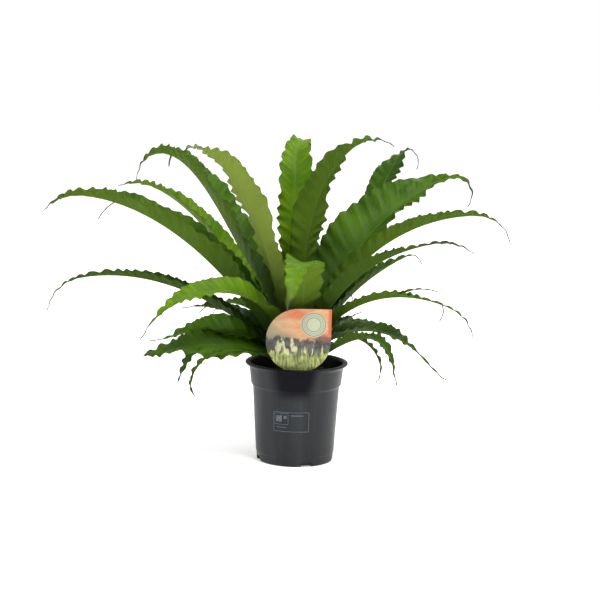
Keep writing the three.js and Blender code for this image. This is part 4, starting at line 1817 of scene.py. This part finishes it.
@dataclass(frozen=True)
class Studio:
    """The floor, the soft lights and the camera, in metres and degrees."""

    place: tuple[float, float, float] = (0.00225, -2.0, 0.5033)
    pitch: float = 8.93
    roll: float = 1.342
    lens: float = 104.36

    def build(self) -> None:
        """Sets up the floor, the lights and the camera."""
        self.add_camera()
        self.add_floor()
        self.add_world()
        self.add_light("key_light", (0.8, -1.4, 2.9), 1.1, 84.0, (1.0, 0.99, 0.95))
        self.add_light("fill_light", (-1.9, -1.6, 1.1), 1.4, 14.0, (0.97, 0.99, 1.0))
        self.add_light("back_light", (0.5, 2.0, 2.3), 1.4, 24.0, (1.0, 1.0, 0.97))

    def add_camera(self) -> None:
        """Adds the camera and makes it the scene's own."""
        lens = bpy.data.cameras.new("studio_camera")
        lens.lens, lens.sensor_width = self.lens, 36.0
        camera = bpy.data.objects.new("studio_camera", lens)
        pitch, roll = math.radians(self.pitch), math.radians(self.roll)
        ahead = Vector((0.0, math.cos(pitch), -math.sin(pitch)))
        right = Vector((1.0, 0.0, 0.0))
        above = right.cross(ahead)
        level = math.cos(roll) * right + math.sin(roll) * above
        rise = math.cos(roll) * above - math.sin(roll) * right
        turn = Matrix((level, rise, -ahead)).transposed().to_4x4()
        camera.matrix_world = Matrix.Translation(self.place) @ turn
        bpy.context.scene.collection.objects.link(camera)
        bpy.context.scene.camera = camera

    def add_floor(self) -> None:
        """Adds the pale floor."""
        mesh = bpy.data.meshes.new("studio_floor")
        side = 9.0
        corners = [(-side, -side, 0.0), (side, -side, 0.0), (side, side, 0.0), (-side, side, 0.0)]
        mesh.from_pydata(corners, [], [(0, 1, 2, 3)])
        material, bench, shader, _ = start_material("pale_floor")
        cloud = bench.mottle(bench.place(), 6.0, 0.3, 0.7)
        bench.put(shader.inputs["Base Color"], bench.mix(cloud, rgba((0.93, 0.93, 0.93)),
                                                         rgba((0.95, 0.95, 0.95))))
        shader.inputs["Roughness"].default_value = 0.9
        shader.inputs["Emission Color"].default_value = (1.0, 1.0, 1.0, 1.0)
        shader.inputs["Emission Strength"].default_value = 0.3
        mesh.materials.append(material)
        floor = bpy.data.objects.new("studio_floor", mesh)
        bpy.context.scene.collection.objects.link(floor)

    def add_world(self) -> None:
        """Surrounds the scene with white, and lights it softly from above."""
        world = bpy.data.worlds.new("studio_world")
        world.use_nodes = True
        bench = Bench(world.node_tree)
        seen = world.node_tree.nodes["Background"]
        seen.inputs["Color"].default_value = (1.0, 1.0, 1.0, 1.0)
        direction = bench.node("ShaderNodeTexCoord").outputs["Generated"]
        height = bench.node("ShaderNodeSeparateXYZ", {0: direction})
        rise = bench.step(height.outputs[2], -0.1, 0.9)
        behind = bench.step(height.outputs[1], -0.85, 0.1)
        level = bench.mix(behind, rgba((0.03, 0.03, 0.035)), rgba((0.26, 0.27, 0.28)))
        light = bench.node("ShaderNodeBackground", {
            "Color": bench.mix(rise, level, rgba((1.0, 1.0, 1.0))),
        })
        eye = bench.node("ShaderNodeLightPath").outputs["Is Camera Ray"]
        both = bench.node("ShaderNodeMixShader", {0: eye, 1: light.outputs[0], 2: seen.outputs[0]})
        bench.put(world.node_tree.nodes["World Output"].inputs["Surface"], both.outputs[0])
        bpy.context.scene.world = world
        bpy.context.scene.view_settings.view_transform = "Standard"

    def add_light(self, name: str, place: tuple[float, float, float], size: float, power: float,
                  colour: Colour) -> None:
        """Adds a soft light that faces the plant.

        Args:
            name: its name.
            place: where it stands.
            size: the length of its sides.
            power: how strong it is.
            colour: its colour.
        """
        data = bpy.data.lights.new(name, "AREA")
        data.size, data.energy, data.color = size, power, colour
        light = bpy.data.objects.new(name, data)
        towards = Vector((0.0, 0.0, 0.18)) - Vector(place)
        light.matrix_world = Matrix.Translation(place) @ towards.to_track_quat("-Z", "Y").to_matrix().to_4x4()
        bpy.context.scene.collection.objects.link(light)


def main() -> None:
    """Builds the plant and the studio."""
    logging.basicConfig(level=logging.INFO, format="%(name)s: %(message)s")
    pot, crown = Pot(), Crown()
    Studio().build()
    pot.build()
    Compost().build(pot, crown)
    crown.build()
    PlantLabel().build()
    Foliage().build(crown)


if __name__ == "__main__":
    main()
